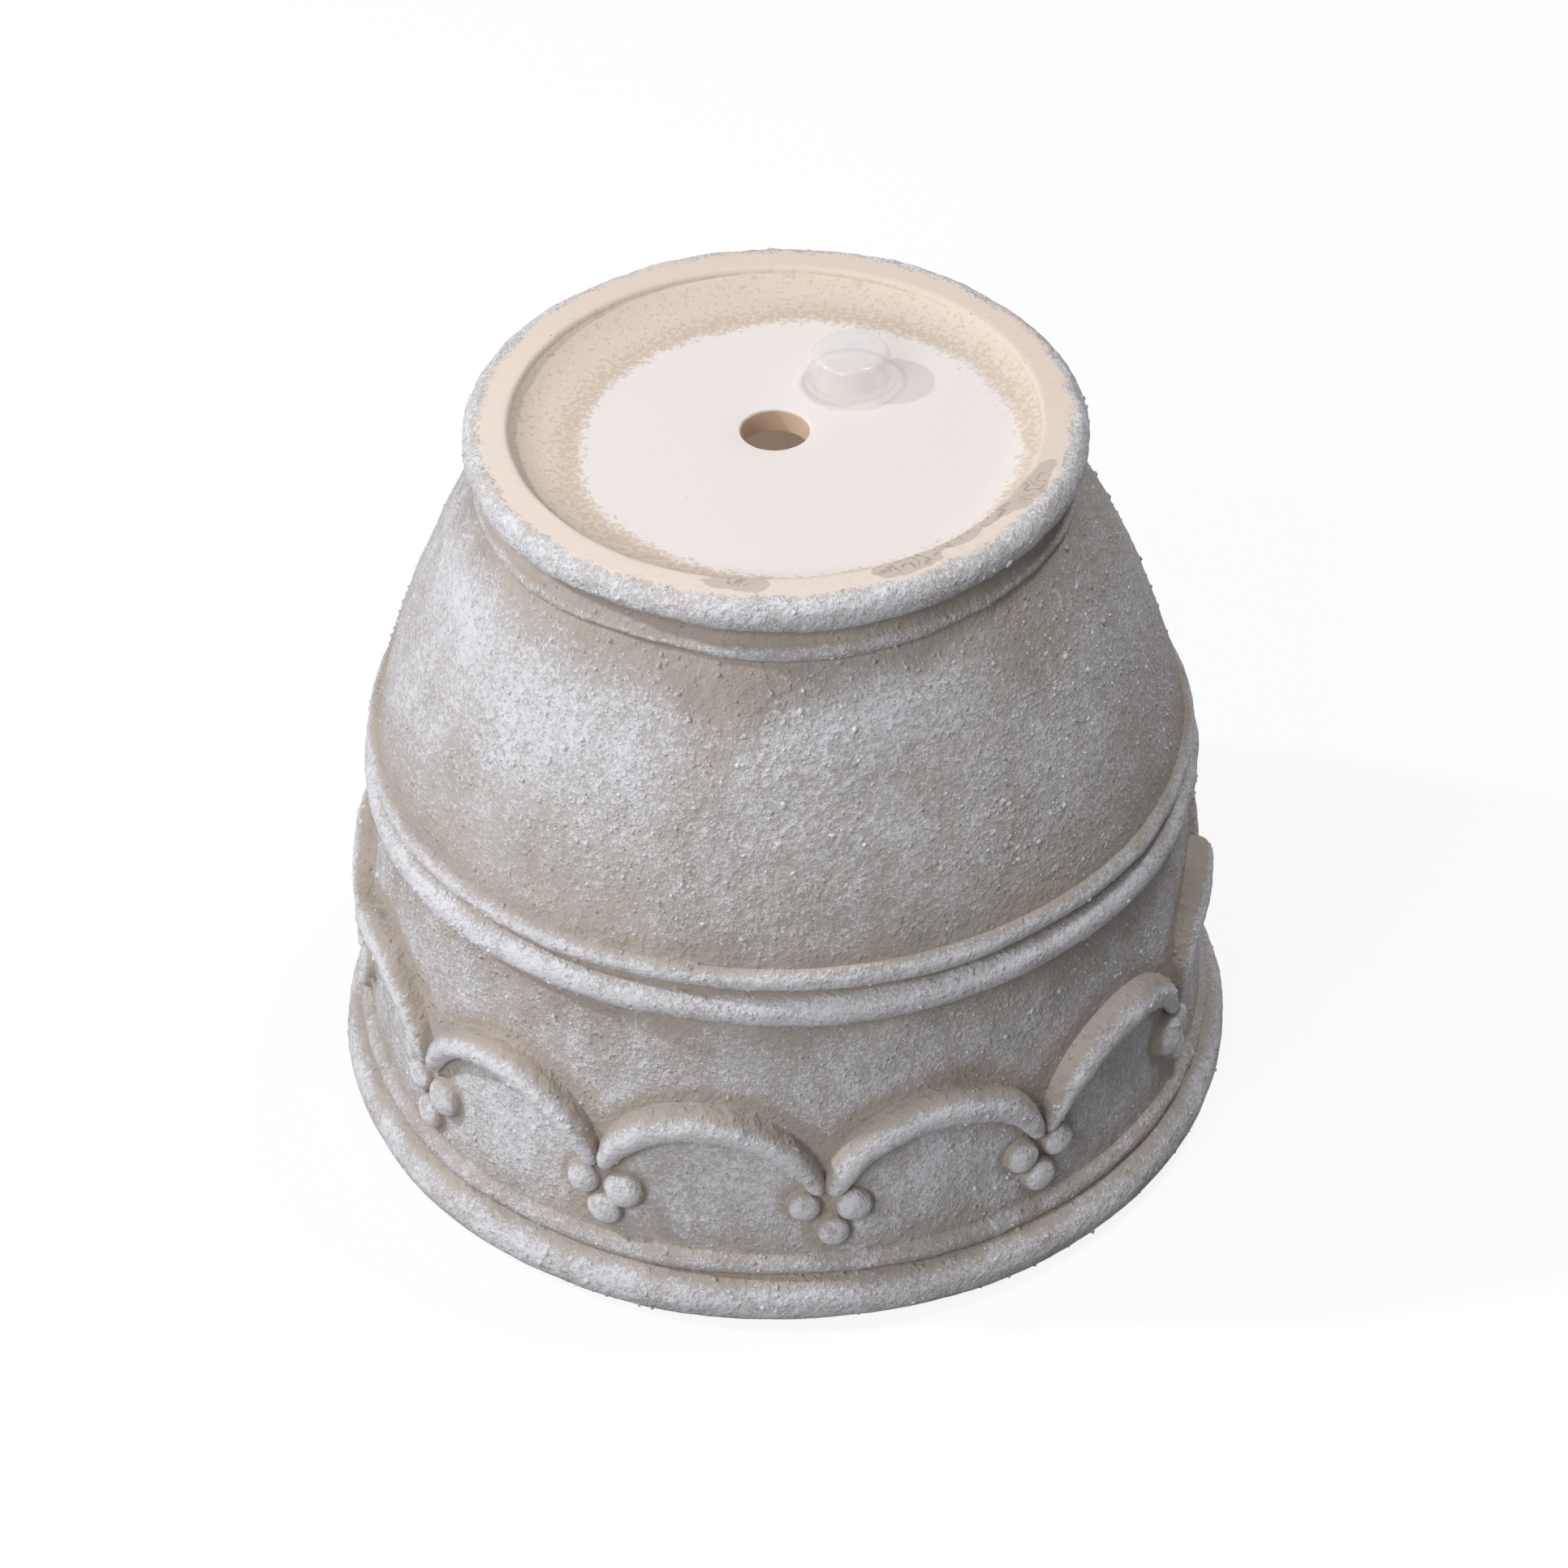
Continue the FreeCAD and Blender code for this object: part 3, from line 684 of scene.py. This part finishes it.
def grains(count, seed, grids, layers, looped):
    """Grains scattered over coated grids: icosahedra with uneven corners, partly sunk in the surface.

    A cell of a grid is drawn with a chance in proportion to its coated area, and a grain lies at a random
    place in it. Its axes are three random ways, square to one another.
    """
    corner_count = len(GRAIN_CORNERS)
    draw = np.random.default_rng(seed)
    chance, step_round, step_up = coated_area(grids, layers, looped)
    drawn = draw.choice(chance.size, count, p=chance.ravel() / chance.sum())
    cell = np.unravel_index(drawn, chance.shape)
    share = draw.uniform(size=(2, count, 1))
    place = grids[cell] + share[0] * step_round[cell] + share[1] * step_up[cell]
    size = np.clip(draw.lognormal(math.log(GRAIN_USUAL), GRAIN_SPREAD, count), *GRAIN_LIMITS)
    size = size[:, None, None] * MM
    first = draw.normal(size=(count, 3))
    second = np.cross(first, draw.normal(size=(count, 3)))
    axes = np.stack([first, second, np.cross(first, second)], axis=1)
    axes = axes / np.linalg.norm(axes, axis=-1, keepdims=True)
    corners = GRAIN_CORNERS / np.linalg.norm(GRAIN_CORNERS[0])
    corners = corners * draw.uniform(*GRAIN_CORNER_LENGTHS, (count, corner_count, 1))
    corners = corners * draw.uniform(*GRAIN_AXIS_LENGTHS, (count, 1, 3))
    solid = place[:, None] + size * (corners @ axes - GRAIN_SINK * normals_of(grids)[cell][:, None])
    solid = np.clip(solid, POT_LOW, POT_HIGH).reshape(-1, 3)
    faces = GRAIN_FACES + corner_count * np.arange(count)[:, None, None]
    tint = np.repeat(layers["white"][cell] + draw.uniform(*GRAIN_TINT, count), corner_count)
    return solid, np.empty((0, 4), int), faces.reshape(-1, 3), coat_layers(tint)


# The plug

PLUG_COLUMNS = 128
STEP_RADIUS = PLUG_RADIUS + STEP_REACH
STEP_TOP = FLANGE_THICK + STEP_HEIGHT
HOLLOW_RADIUS = PLUG_RADIUS - PLUG_WALL
HOLLOW_TOP = PLUG_HEIGHT - PLUG_WALL
HOLLOW_ROUND = PLUG_ROUND - PLUG_WALL / 2
EDGE_ROUND = 0.35 * MM
POLE = 0.2 * MM
STEP_FILLET = 0.8 * MM
CORNER_ROWS = 6
PLUG_CLEAR = 0.05 * MM
FLASH_REACH = 0.7 * MM
FLASH_ANGLE = math.radians(-118)
FLASH_WIDTH = math.radians(5)
FLASH_START = STEP_RADIUS + 0.4 * MM
FLASH_TOP = FLANGE_THICK * 1.01
FLASH_RAGGED = 0.35
FLASH_TEETH = 60


def rounded_outline(corners):
    """Rows of an open outline whose corners, given with their radii, are cut by arcs of that radius.

    The arc at a corner starts and ends at radius * tan(turn / 2) from it on its two sides.
    """
    places = [np.array(corner[:2]) for corner in corners]
    rows = [places[0]]
    for before, place, after, (_, _, radius) in zip(places, places[1:], places[2:], corners[1:]):
        back = (before - place) / np.linalg.norm(before - place)
        ahead = (after - place) / np.linalg.norm(after - place)
        turn = math.pi - math.acos(np.clip(back @ ahead, -1, 1))
        cut = radius * math.tan(turn / 2)
        side = math.copysign(1, back[1] * ahead[0] - back[0] * ahead[1])
        bulge = radius * (1 - math.cos(turn / 2)) * side
        arc = arc_points(place + back * cut, place + ahead * cut, bulge, CORNER_ROWS)
        rows.extend(arc)
        rows.append(place + ahead * cut)
    rows.append(places[-1])
    return np.array(rows)


def plug_surface():
    """The plug: its outline, between the middles of its hollow and of its top, turned about its axis.

    A torn flap of flash stands out of the flange at one angle, as exp(-(angle / width)^2), with teeth.
    """
    corners = [
        (POLE, PLUG_HEIGHT, 0),
        (PLUG_RADIUS, PLUG_HEIGHT, PLUG_ROUND),
        (PLUG_RADIUS, STEP_TOP, STEP_FILLET),
        (STEP_RADIUS, STEP_TOP, EDGE_ROUND),
        (STEP_RADIUS, FLANGE_THICK, EDGE_ROUND),
        (FLANGE_RADIUS, FLANGE_THICK, EDGE_ROUND),
        (FLANGE_RADIUS, PLUG_CLEAR, EDGE_ROUND),
        (HOLLOW_RADIUS, PLUG_CLEAR, EDGE_ROUND),
        (HOLLOW_RADIUS, HOLLOW_TOP, HOLLOW_ROUND),
        (POLE, HOLLOW_TOP, 0),
    ]
    outline = rounded_outline(corners)[::-1]
    angle = np.linspace(0, TURN, PLUG_COLUMNS, endpoint=False)
    radius, height = outline[:, :1], outline[:, 1:]
    on_flange = smoothstep(radius, FLASH_START, FLANGE_RADIUS) * (height < FLASH_TOP)
    apart = (angle - FLASH_ANGLE + math.pi) % TURN - math.pi
    teeth = 1 + FLASH_RAGGED * np.sin(apart * FLASH_TEETH)
    flap = FLASH_REACH * np.exp(-(apart / FLASH_WIDTH) ** 2) * teeth
    hollow = (radius < HOLLOW_RADIUS + EDGE_ROUND) & (height < HOLLOW_TOP + EDGE_ROUND)
    radius = radius + on_flange * flap
    points = round_axis(radius, angle, height) + (PLUG_MIDDLE.x, PLUG_MIDDLE.y, PLUG_FOOT)
    hollow = np.broadcast_to(hollow, points.shape[:2])[None] * 1.0
    upright = 1 - np.abs(normals_of(points[None])[..., 2])
    return points[None], {"hollow": hollow, "upright": upright}


# Materials

class Socket:
    """An output of a node; arithmetic on it adds Math nodes to its tree."""

    def __init__(self, tree, output):
        self.tree = tree
        self.output = output

    def node(self, kind, settings, inputs, output=0):
        """Adds a node: its settings first, then its inputs, by number or name, as values or sockets."""
        made = self.tree.nodes.new(kind)
        for name, setting in settings.items():
            setattr(made, name, setting)
        for name, given in inputs.items():
            if isinstance(given, Socket):
                self.tree.links.new(given.output, made.inputs[name])
            else:
                made.inputs[name].default_value = given
        return Socket(self.tree, made.outputs[output])

    def math(self, operation, *values):
        """A Math node on numbers or sockets."""
        return self.node("ShaderNodeMath", {"operation": operation}, dict(enumerate(values)))

    def __add__(self, other):
        return self.math("ADD", self, other)

    def __sub__(self, other):
        return self.math("SUBTRACT", self, other)

    def __rsub__(self, other):
        return self.math("SUBTRACT", other, self)

    def __mul__(self, other):
        return self.math("MULTIPLY", self, other)

    def __truediv__(self, other):
        return self.math("DIVIDE", self, other)

    def __pow__(self, other):
        return self.math("POWER", self, other)

    def __abs__(self):
        return self.math("ABSOLUTE", self)

    __radd__ = __add__
    __rmul__ = __mul__

    def rise(self, low, high):
        """The S-shaped rise from 0 at low to 1 at high."""
        return self.node("ShaderNodeMapRange", {"interpolation_type": "SMOOTHSTEP"},
                         {"Value": self, "From Min": low, "From Max": high})

    def blend(self, first, second):
        """The colour first where this is 0 and second where it is 1, by their numbers on a Mix node."""
        return self.node("ShaderNodeMix", {"data_type": "RGBA"}, {0: self, 6: first, 7: second}, 2)

    def noise(self, scale, detail=2.0, roughness=0.5, distortion=0.0):
        """Cloudy noise from 0 to 1 on this position, with so many bumps to a metre."""
        return self.node("ShaderNodeTexNoise", {}, {
            "Vector": self, "Scale": scale, "Detail": detail, "Roughness": roughness,
            "Distortion": distortion})

    def spots(self, scale):
        """Distance to the nearest of scattered points, in units of their spacing."""
        return self.node("ShaderNodeTexVoronoi", {}, {"Vector": self, "Scale": scale})

    def moved(self, offset):
        """This position shifted by an offset."""
        return self.node("ShaderNodeVectorMath", {"operation": "ADD"}, {0: self, 1: offset})

    def stretched(self, factors):
        """This position times a factor each way: a small one draws a pattern out that way."""
        return self.node("ShaderNodeVectorMath", {"operation": "MULTIPLY"}, {0: self, 1: factors})

    def twin(self, name):
        """Another output of the same node."""
        return Socket(self.tree, self.output.node.outputs[name])


def colour(red, green, blue):
    """A linear colour from its screen values of 0 to 255, by the sRGB curve."""
    def linear(screen):
        share = screen / 255
        return share / 12.92 if share <= 0.04045 else ((share + 0.055) / 1.055) ** 2.4
    return linear(red), linear(green), linear(blue), 1.0


def grey(level):
    """A grey of a linear level."""
    return level, level, level, 1.0


def new_material(name):
    """A node material with its shader, and the socket of the object's own coordinates."""
    material = bpy.data.materials.new(name)
    material.use_nodes = True
    tree = material.node_tree
    shader = tree.nodes["Principled BSDF"]
    place = Socket(tree, tree.nodes.new("ShaderNodeTexCoord").outputs["Object"])
    return material, shader, place


def feed(shader, **sockets):
    """Links sockets, or sets values, on a shader's inputs; an underscore in a name is a space."""
    for name, given in sockets.items():
        entry = shader.inputs[name.replace("_", " ")]
        if isinstance(given, Socket):
            given.tree.links.new(given.output, entry)
        else:
            entry.default_value = given


def layers_of(place, *names):
    """Sockets of a piece's vertex layers."""
    return [place.node("ShaderNodeAttribute", {"attribute_name": name}, {}, "Fac") for name in names]


def axes_of(place):
    """Sockets of a position's X, Y and Z."""
    x = place.node("ShaderNodeSeparateXYZ", {}, {0: place})
    return x, x.twin("Y"), x.twin("Z")


def distance(across, along):
    """The length of a level step, from its two shares."""
    return (across * across + along * along) ** 0.5


def any_of(*sockets):
    """The largest of some sockets."""
    largest = sockets[0]
    for socket in sockets[1:]:
        largest = largest.math("MAXIMUM", largest, socket)
    return largest


TAUPE = colour(189, 179, 170)
TAUPE_DEEP = colour(178, 169, 161)
HAZE = colour(210, 208, 211)
WHITE = colour(236, 236, 242)
CREAM = colour(237, 224, 214)
CREAM_DUSTY = colour(230, 214, 201)
PANEL = colour(238, 230, 227)
OVERSPRAY = colour(203, 188, 170)
DROP = colour(192, 172, 151)
SMEAR = colour(199, 188, 179)
BROWN = colour(150, 128, 110)
INSIDE = colour(212, 194, 178)
HOLE_CLAY = colour(212, 186, 162)
# Silicone of the walls and flange, painted whiter than the top: painted light scattered through the
# silicone
SILICONE_PAINTED_BRIGHT = colour(250, 244, 242)
SILICONE_CLOUDY = colour(229, 228, 230)
SILICONE_IOR = 1.41
CERAMIC_SHINE = 0.2
COAT_RELIEF = 0.55 * MM
# The pale panel on the base, which is off the axis, and how far its edge wanders
PANEL_MIDDLE = (7.5 * MM, -9.5 * MM)
PANEL_RADIUS = 69 * MM
PANEL_WANDER = 8 * MM


def brushed_coat(place, white, height):
    """Colour, flecks and relief of the coat: sandy taupe, brushed with white as a haze and as flecks.

    The flecks are thin worms along a noise's middle level, dots and, where the brush pressed, solid paint.
    """
    clouds = place.noise(38, 3)
    streaks = place.stretched((1.0, 1.0, 0.4)).noise(55, 3, 0.6)
    patches = place.moved((4.0, 2.0, 6.0)).noise(120, 2)
    lumps = place.noise(230, 2)
    flakes = place.noise(520, 2, 0.55, 0.3)
    sand = place.noise(1500, 2, 0.6)
    uneven = 1.35 - height.rise(LOW_BAND_TOP, BELLY_FOOT) * 0.6
    level = white + ((streaks - 0.5) * uneven + (patches - 0.5) * 0.5) * white.rise(0.02, 0.3)
    haze = (level + (flakes - 0.5) * 0.5 + (sand - 0.5) * 0.4).rise(0.05, 1.05) * 0.8
    worms = 1 - abs(place.moved((1.0, 5.0, 2.0)).noise(500, 1, 0.5, 0.6) - 0.5) * 15
    brushed = lumps * 0.4 + flakes * 0.6 + (level - 0.5) * 0.26
    worms = worms.rise(0.0, 0.8) * brushed.rise(0.45, 0.55)
    dots = (place.moved((3.0, 1.0, 4.0)).noise(900, 2, 0.6) + (level - 0.5) * 0.22).rise(0.55, 0.66)
    solid = level + (lumps - 0.5) * 0.7 + (flakes - 0.5) * 1.4 + (sand - 0.5) * 1.0
    flecks = any_of(worms * 0.75, dots * 0.85, solid.rise(0.7, 1.1))
    coat = clouds.rise(0.3, 0.7).blend(TAUPE, TAUPE_DEEP)
    coat = haze.blend(coat, HAZE)
    coat = (flecks * 0.85).blend(coat, WHITE)
    pimples = (1 - place.spots(330).rise(0.05, 0.35)) * lumps.rise(0.42, 0.68)
    relief = (flakes - 0.5) * 1.1 + (lumps - 0.5) * 1.2 + (sand - 0.5) * 0.15
    return coat, flecks, relief + flecks * 0.24 + pimples * 0.9


def bare_clay(place, smear, x, y, z):
    """Colour and relief of the clay: the base's pale panel, overspray and drops of coat round it, the
    foot's cream with smears, scuffs, specks and pits, and the darker hole and inside."""
    off_panel = distance(x - PANEL_MIDDLE[0], y - PANEL_MIDDLE[1]) - PANEL_RADIUS
    off_panel = off_panel + (place.noise(45, 4, 0.6) - 0.5) * PANEL_WANDER
    ring = distance(x, y)
    foot = ring.rise(LIP_RADIUS - 1 * MM, LIP_RADIUS + 1.5 * MM)
    dusty = (x * 0.45 + y * 0.9).rise(-50 * MM, 70 * MM)
    clay = off_panel.rise(-1.5 * MM, 2 * MM).blend(PANEL, CREAM)
    clay = foot.blend(clay, dusty.blend(CREAM, CREAM_DUSTY))

    sprayed = (1 - foot * 0.8) * (1 - x.rise(20 * MM, 80 * MM) * 0.2)
    dust = off_panel.rise(-1.5 * MM, 3 * MM)
    clay = (dust * sprayed * 0.5).blend(clay, OVERSPRAY)
    cover = off_panel.rise(-6 * MM, 1.5 * MM) * (1 - off_panel.rise(3 * MM, 13 * MM) * 0.5)
    drops = (place.noise(520, 3, 0.65) + cover * 0.26).rise(0.66, 0.8) * sprayed
    clay = (drops * 0.5).blend(clay, DROP)

    smeared = (smear + (place.noise(90, 3, 0.55) - 0.5) * 1.1).rise(0.4, 0.46)
    clay = (smeared * 0.85).blend(clay, SMEAR)
    rubbed = smear * 0.5 + place.moved((2.0, 0.0, 1.0)).noise(75, 2) * 0.6
    scuffs = (1 - abs(place.noise(170, 3, 0.6, 0.8) - 0.5) * 22).rise(0.2, 0.8) * rubbed.rise(0.6, 0.68)
    clay = (scuffs * 0.6).blend(clay, BROWN)
    gritty = (1 - abs(ring - LIP_RADIUS) / (10 * MM)).rise(0.0, 0.6) * x.rise(10 * MM, 70 * MM)
    specks = (place.moved((5.0, 3.0, 0.0)).noise(1000, 2, 0.6) + gritty * 0.08).rise(0.72, 0.8)
    clay = (specks * 0.5).blend(clay, BROWN)
    pits = 1 - place.spots(120).rise(0.025, 0.045)
    pits = pits * place.noise(45).rise(0.54, 0.58) * (0.15 + foot * 0.85)
    clay = (pits * 0.8).blend(clay, BROWN)

    clay = z.rise(BASE - 1.2 * MM, BASE - 0.3 * MM).blend(HOLE_CLAY, clay)
    clay = z.rise(FLOOR - 1 * MM, FLOOR + 1 * MM).blend(INSIDE, clay)
    relief = place.noise(1500, 2, 0.6) * 0.05 + smeared * 0.12 + scuffs * 0.15 + drops * 0.1
    return clay, relief


def coated_ceramic():
    """Brushed coat, with a ragged edge on the foot, and bare clay on the foot, the base and inside."""
    material, shader, place = new_material("coated_ceramic")
    white, bare, smear = layers_of(place, "white", "bare", "smear")
    x, y, z = axes_of(place)
    coat, flecks, rough_coat = brushed_coat(place, white, z)
    clay, rough_clay = bare_clay(place, smear, x, y, z)
    ragged = bare + (place.noise(700, 3, 0.7) - 0.5) * 1.1 + (place.noise(160, 2) - 0.5) * 0.7
    bared = ragged.rise(0.35, 0.65)
    bump = place.node("ShaderNodeBump", {}, {
        "Strength": 1.0, "Distance": COAT_RELIEF, "Height": rough_coat + bared * (rough_clay - rough_coat)})
    feed(shader, Base_Color=bared.blend(coat, clay), Roughness=0.95 - flecks * 0.05, Normal=bump,
         Specular_IOR_Level=CERAMIC_SHINE)
    return material


def clear_silicone():
    """Milky, see-through silicone: cloudy in the top of the cap, clearest where it lies flat, and denser
    where it stands upright or is seen at a grazing angle. Off the top it is painted whiter: painted light
    that stands in for light scattered through the silicone."""
    material, shader, place = new_material("clear_silicone")
    hollow, upright = layers_of(place, "hollow", "upright")
    height = axes_of(place)[2] - PLUG_FOOT
    top = height.rise(PLUG_HEIGHT - PLUG_ROUND * 0.9, PLUG_HEIGHT - PLUG_ROUND * 0.25)
    grazing = place.node("ShaderNodeLayerWeight", {}, {"Blend": 0.3}, "Facing")
    haze = (place.noise(300, 3) - 0.5) * 0.06
    milk = 0.1 + top * 0.34 + upright * (1 - top) * 0.12 + grazing ** 3 * 0.25 + haze
    # Off the top the colour is painted whiter, as painted light that stands in for light scattered through
    # the walls
    feed(shader, Base_Color=top.blend(SILICONE_PAINTED_BRIGHT, SILICONE_CLOUDY), Alpha=milk * (1 - hollow * 0.9),
         Roughness=0.4 + haze, Coat_Weight=1.0, Coat_Roughness=0.12, IOR=SILICONE_IOR)
    return material


# Levels of the floor: its grey to the light, and its grey and its glow to the eye
FLOOR_GREY = 0.25
FLOOR_SEEN = 0.14
FLOOR_GLOW = 0.88


def seen_directly(tree):
    """1 for a ray from the camera, off a glossy surface or through a clear one, and 0 for others."""
    camera = Socket(tree, tree.nodes.new("ShaderNodeLightPath").outputs["Is Camera Ray"])
    return any_of(camera, camera.twin("Is Glossy Ray"), camera.twin("Is Transmission Ray"))


def pale_floor():
    """White where it is seen, with the object's faint shadow; mid-grey under the pot and to the light that
    it sends back."""
    material, shader, place = new_material("pale_floor")
    x, y, _ = axes_of(place)
    seen = seen_directly(place.tree) * distance(x, y).rise(MOUTH_RADIUS + MOUTH_ROUND, ROLL_MIDDLE)
    feed(shader, Base_Color=seen.blend(grey(FLOOR_GREY), grey(FLOOR_SEEN)), Roughness=1.0,
         Emission_Color=seen.blend(grey(0.0), grey(FLOOR_GLOW)), Emission_Strength=1.0,
         Specular_IOR_Level=0.0)
    return material


# Pieces

def dress(piece, body, node, material):
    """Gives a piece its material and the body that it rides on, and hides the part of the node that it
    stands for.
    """
    piece.data.materials.append(material)
    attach(piece, body)
    if node:
        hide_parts(node)


# Degrees between faces from which an edge is sharp
CLAY_SHARP = 50
GRAIN_SHARP = 180
PLUG_SHARP = 35

ceramic = coated_ceramic()
wall = turned_wall()
arch_grids = arches()
for name, mesh, sharp in (
        ("pot_wall", closed_grids(*wall, looped=True), CLAY_SHARP),
        ("pot_arches", closed_grids(*arch_grids, looped=False), CLAY_SHARP),
        ("pot_pellets", closed_grids(*pellets(), looped=False), CLAY_SHARP),
        ("pot_wall_grains", grains(WALL_GRAINS, WALL_GRAIN_SEED, *wall, looped=True), GRAIN_SHARP),
        ("pot_arch_grains", grains(ARCH_GRAINS, ARCH_GRAIN_SEED, *arch_grids, looped=False), GRAIN_SHARP)):
    node = "pot" if name == "pot_wall" else None
    dress(add_piece(name, *mesh, sharp), "pot", node, ceramic)
plug = add_piece("plug_moulding", *closed_grids(*plug_surface(), looped=False), PLUG_SHARP)
dress(plug, "plug", "drain_plug", clear_silicone())


# Floor, light and camera

FLOOR_HALF = 6.0


def make_floor():
    """A wide square at the height of the rim."""
    mesh = bpy.data.meshes.new("floor")
    corners = [(-FLOOR_HALF, -FLOOR_HALF, 0), (FLOOR_HALF, -FLOOR_HALF, 0),
               (FLOOR_HALF, FLOOR_HALF, 0), (-FLOOR_HALF, FLOOR_HALF, 0)]
    mesh.from_pydata(corners, [], [(0, 1, 2, 3)])
    mesh.materials.append(pale_floor())
    floor = add_object("floor", mesh)


LAMP_DISTANCE = 2.4
# Direction of each lamp, the level to which it lights a surface that faces it, and its size
LAMPS = {
    "key": ((-0.726, 0.02, 0.687), 0.42, 0.12),
    "soft": ((-0.45, -0.68, 0.58), 0.41, 1.3),
    "top": ((0.31, 0.14, 0.94), 0.27, 0.4),
}
SKY_LEVEL = 0.17
# Brightness, size and height of the lamp inside the pot
INSIDE_LEVEL = 1.4
INSIDE_SIZE = 0.18
INSIDE_HEIGHT = 0.01


def add_lamp(name, place, away, size, power):
    """A round lamp at a place, given the direction that leads to it from what it lights."""
    lamp = bpy.data.lights.new(name, "AREA")
    lamp.shape = "DISK"
    lamp.size = size
    lamp.energy = power
    turned = away.to_track_quat("Z", "Y").to_matrix().to_4x4()
    add_object(name, lamp).matrix_world = Matrix.Translation(place) @ turned


def make_lights():
    """A small key lamp on the left, a broad soft one in front of it, a top lamp, an even sky, and a lamp
    that shines up inside the pot, whose wall shows in the drain hole.

    A lamp of power P at the distance d lights a surface that faces it to the level P / (pi d)^2, and one of
    the area A has the brightness P / (pi A).
    """
    for name, (way, level, size) in LAMPS.items():
        away = Vector(way).normalized()
        add_lamp(name, away * LAMP_DISTANCE, away, size, level * (math.pi * LAMP_DISTANCE) ** 2)
    inside_area = math.pi * (INSIDE_SIZE / 2) ** 2
    add_lamp("inside", Vector((0, 0, INSIDE_HEIGHT)), Vector((0, 0, -1)), INSIDE_SIZE,
             INSIDE_LEVEL * math.pi * inside_area)
    world = bpy.data.worlds.new("studio")
    world.use_nodes = True
    sky = world.node_tree.nodes["Background"]
    feed(sky, Color=seen_directly(world.node_tree).blend(grey(SKY_LEVEL), grey(1.0)))
    bpy.context.scene.world = world


# The camera as it was fitted to the photograph, with its focal length in the photograph's pixels
IMAGE_WIDTH = 1932
CAMERA_PLACE = Vector((0.944, -1272.2, 1153.9)) * MM
CAMERA_PITCH = math.radians(39.527)
CAMERA_ROLL = math.radians(-0.95)
CAMERA_FOCUS = 6136.7
SENSOR = 36.0


def make_camera():
    """The photograph's camera: looking along +Y, tilted down, with a slight roll."""
    camera = bpy.data.cameras.new("camera")
    camera.sensor_width = SENSOR
    camera.lens = CAMERA_FOCUS / IMAGE_WIDTH * SENSOR
    forward = Vector((0, math.cos(CAMERA_PITCH), -math.sin(CAMERA_PITCH)))
    level = Vector((1, 0, 0))
    upright = Vector((0, math.sin(CAMERA_PITCH), math.cos(CAMERA_PITCH)))
    across = level * math.cos(CAMERA_ROLL) + upright * math.sin(CAMERA_ROLL)
    upward = upright * math.cos(CAMERA_ROLL) - level * math.sin(CAMERA_ROLL)
    turned = Matrix((across, upward, -forward)).transposed().to_4x4()
    holder = add_object("camera", camera)
    holder.matrix_world = Matrix.Translation(CAMERA_PLACE) @ turned
    bpy.context.scene.camera = holder


make_floor()
make_lights()
make_camera()
bpy.context.scene.view_settings.view_transform = "Standard"
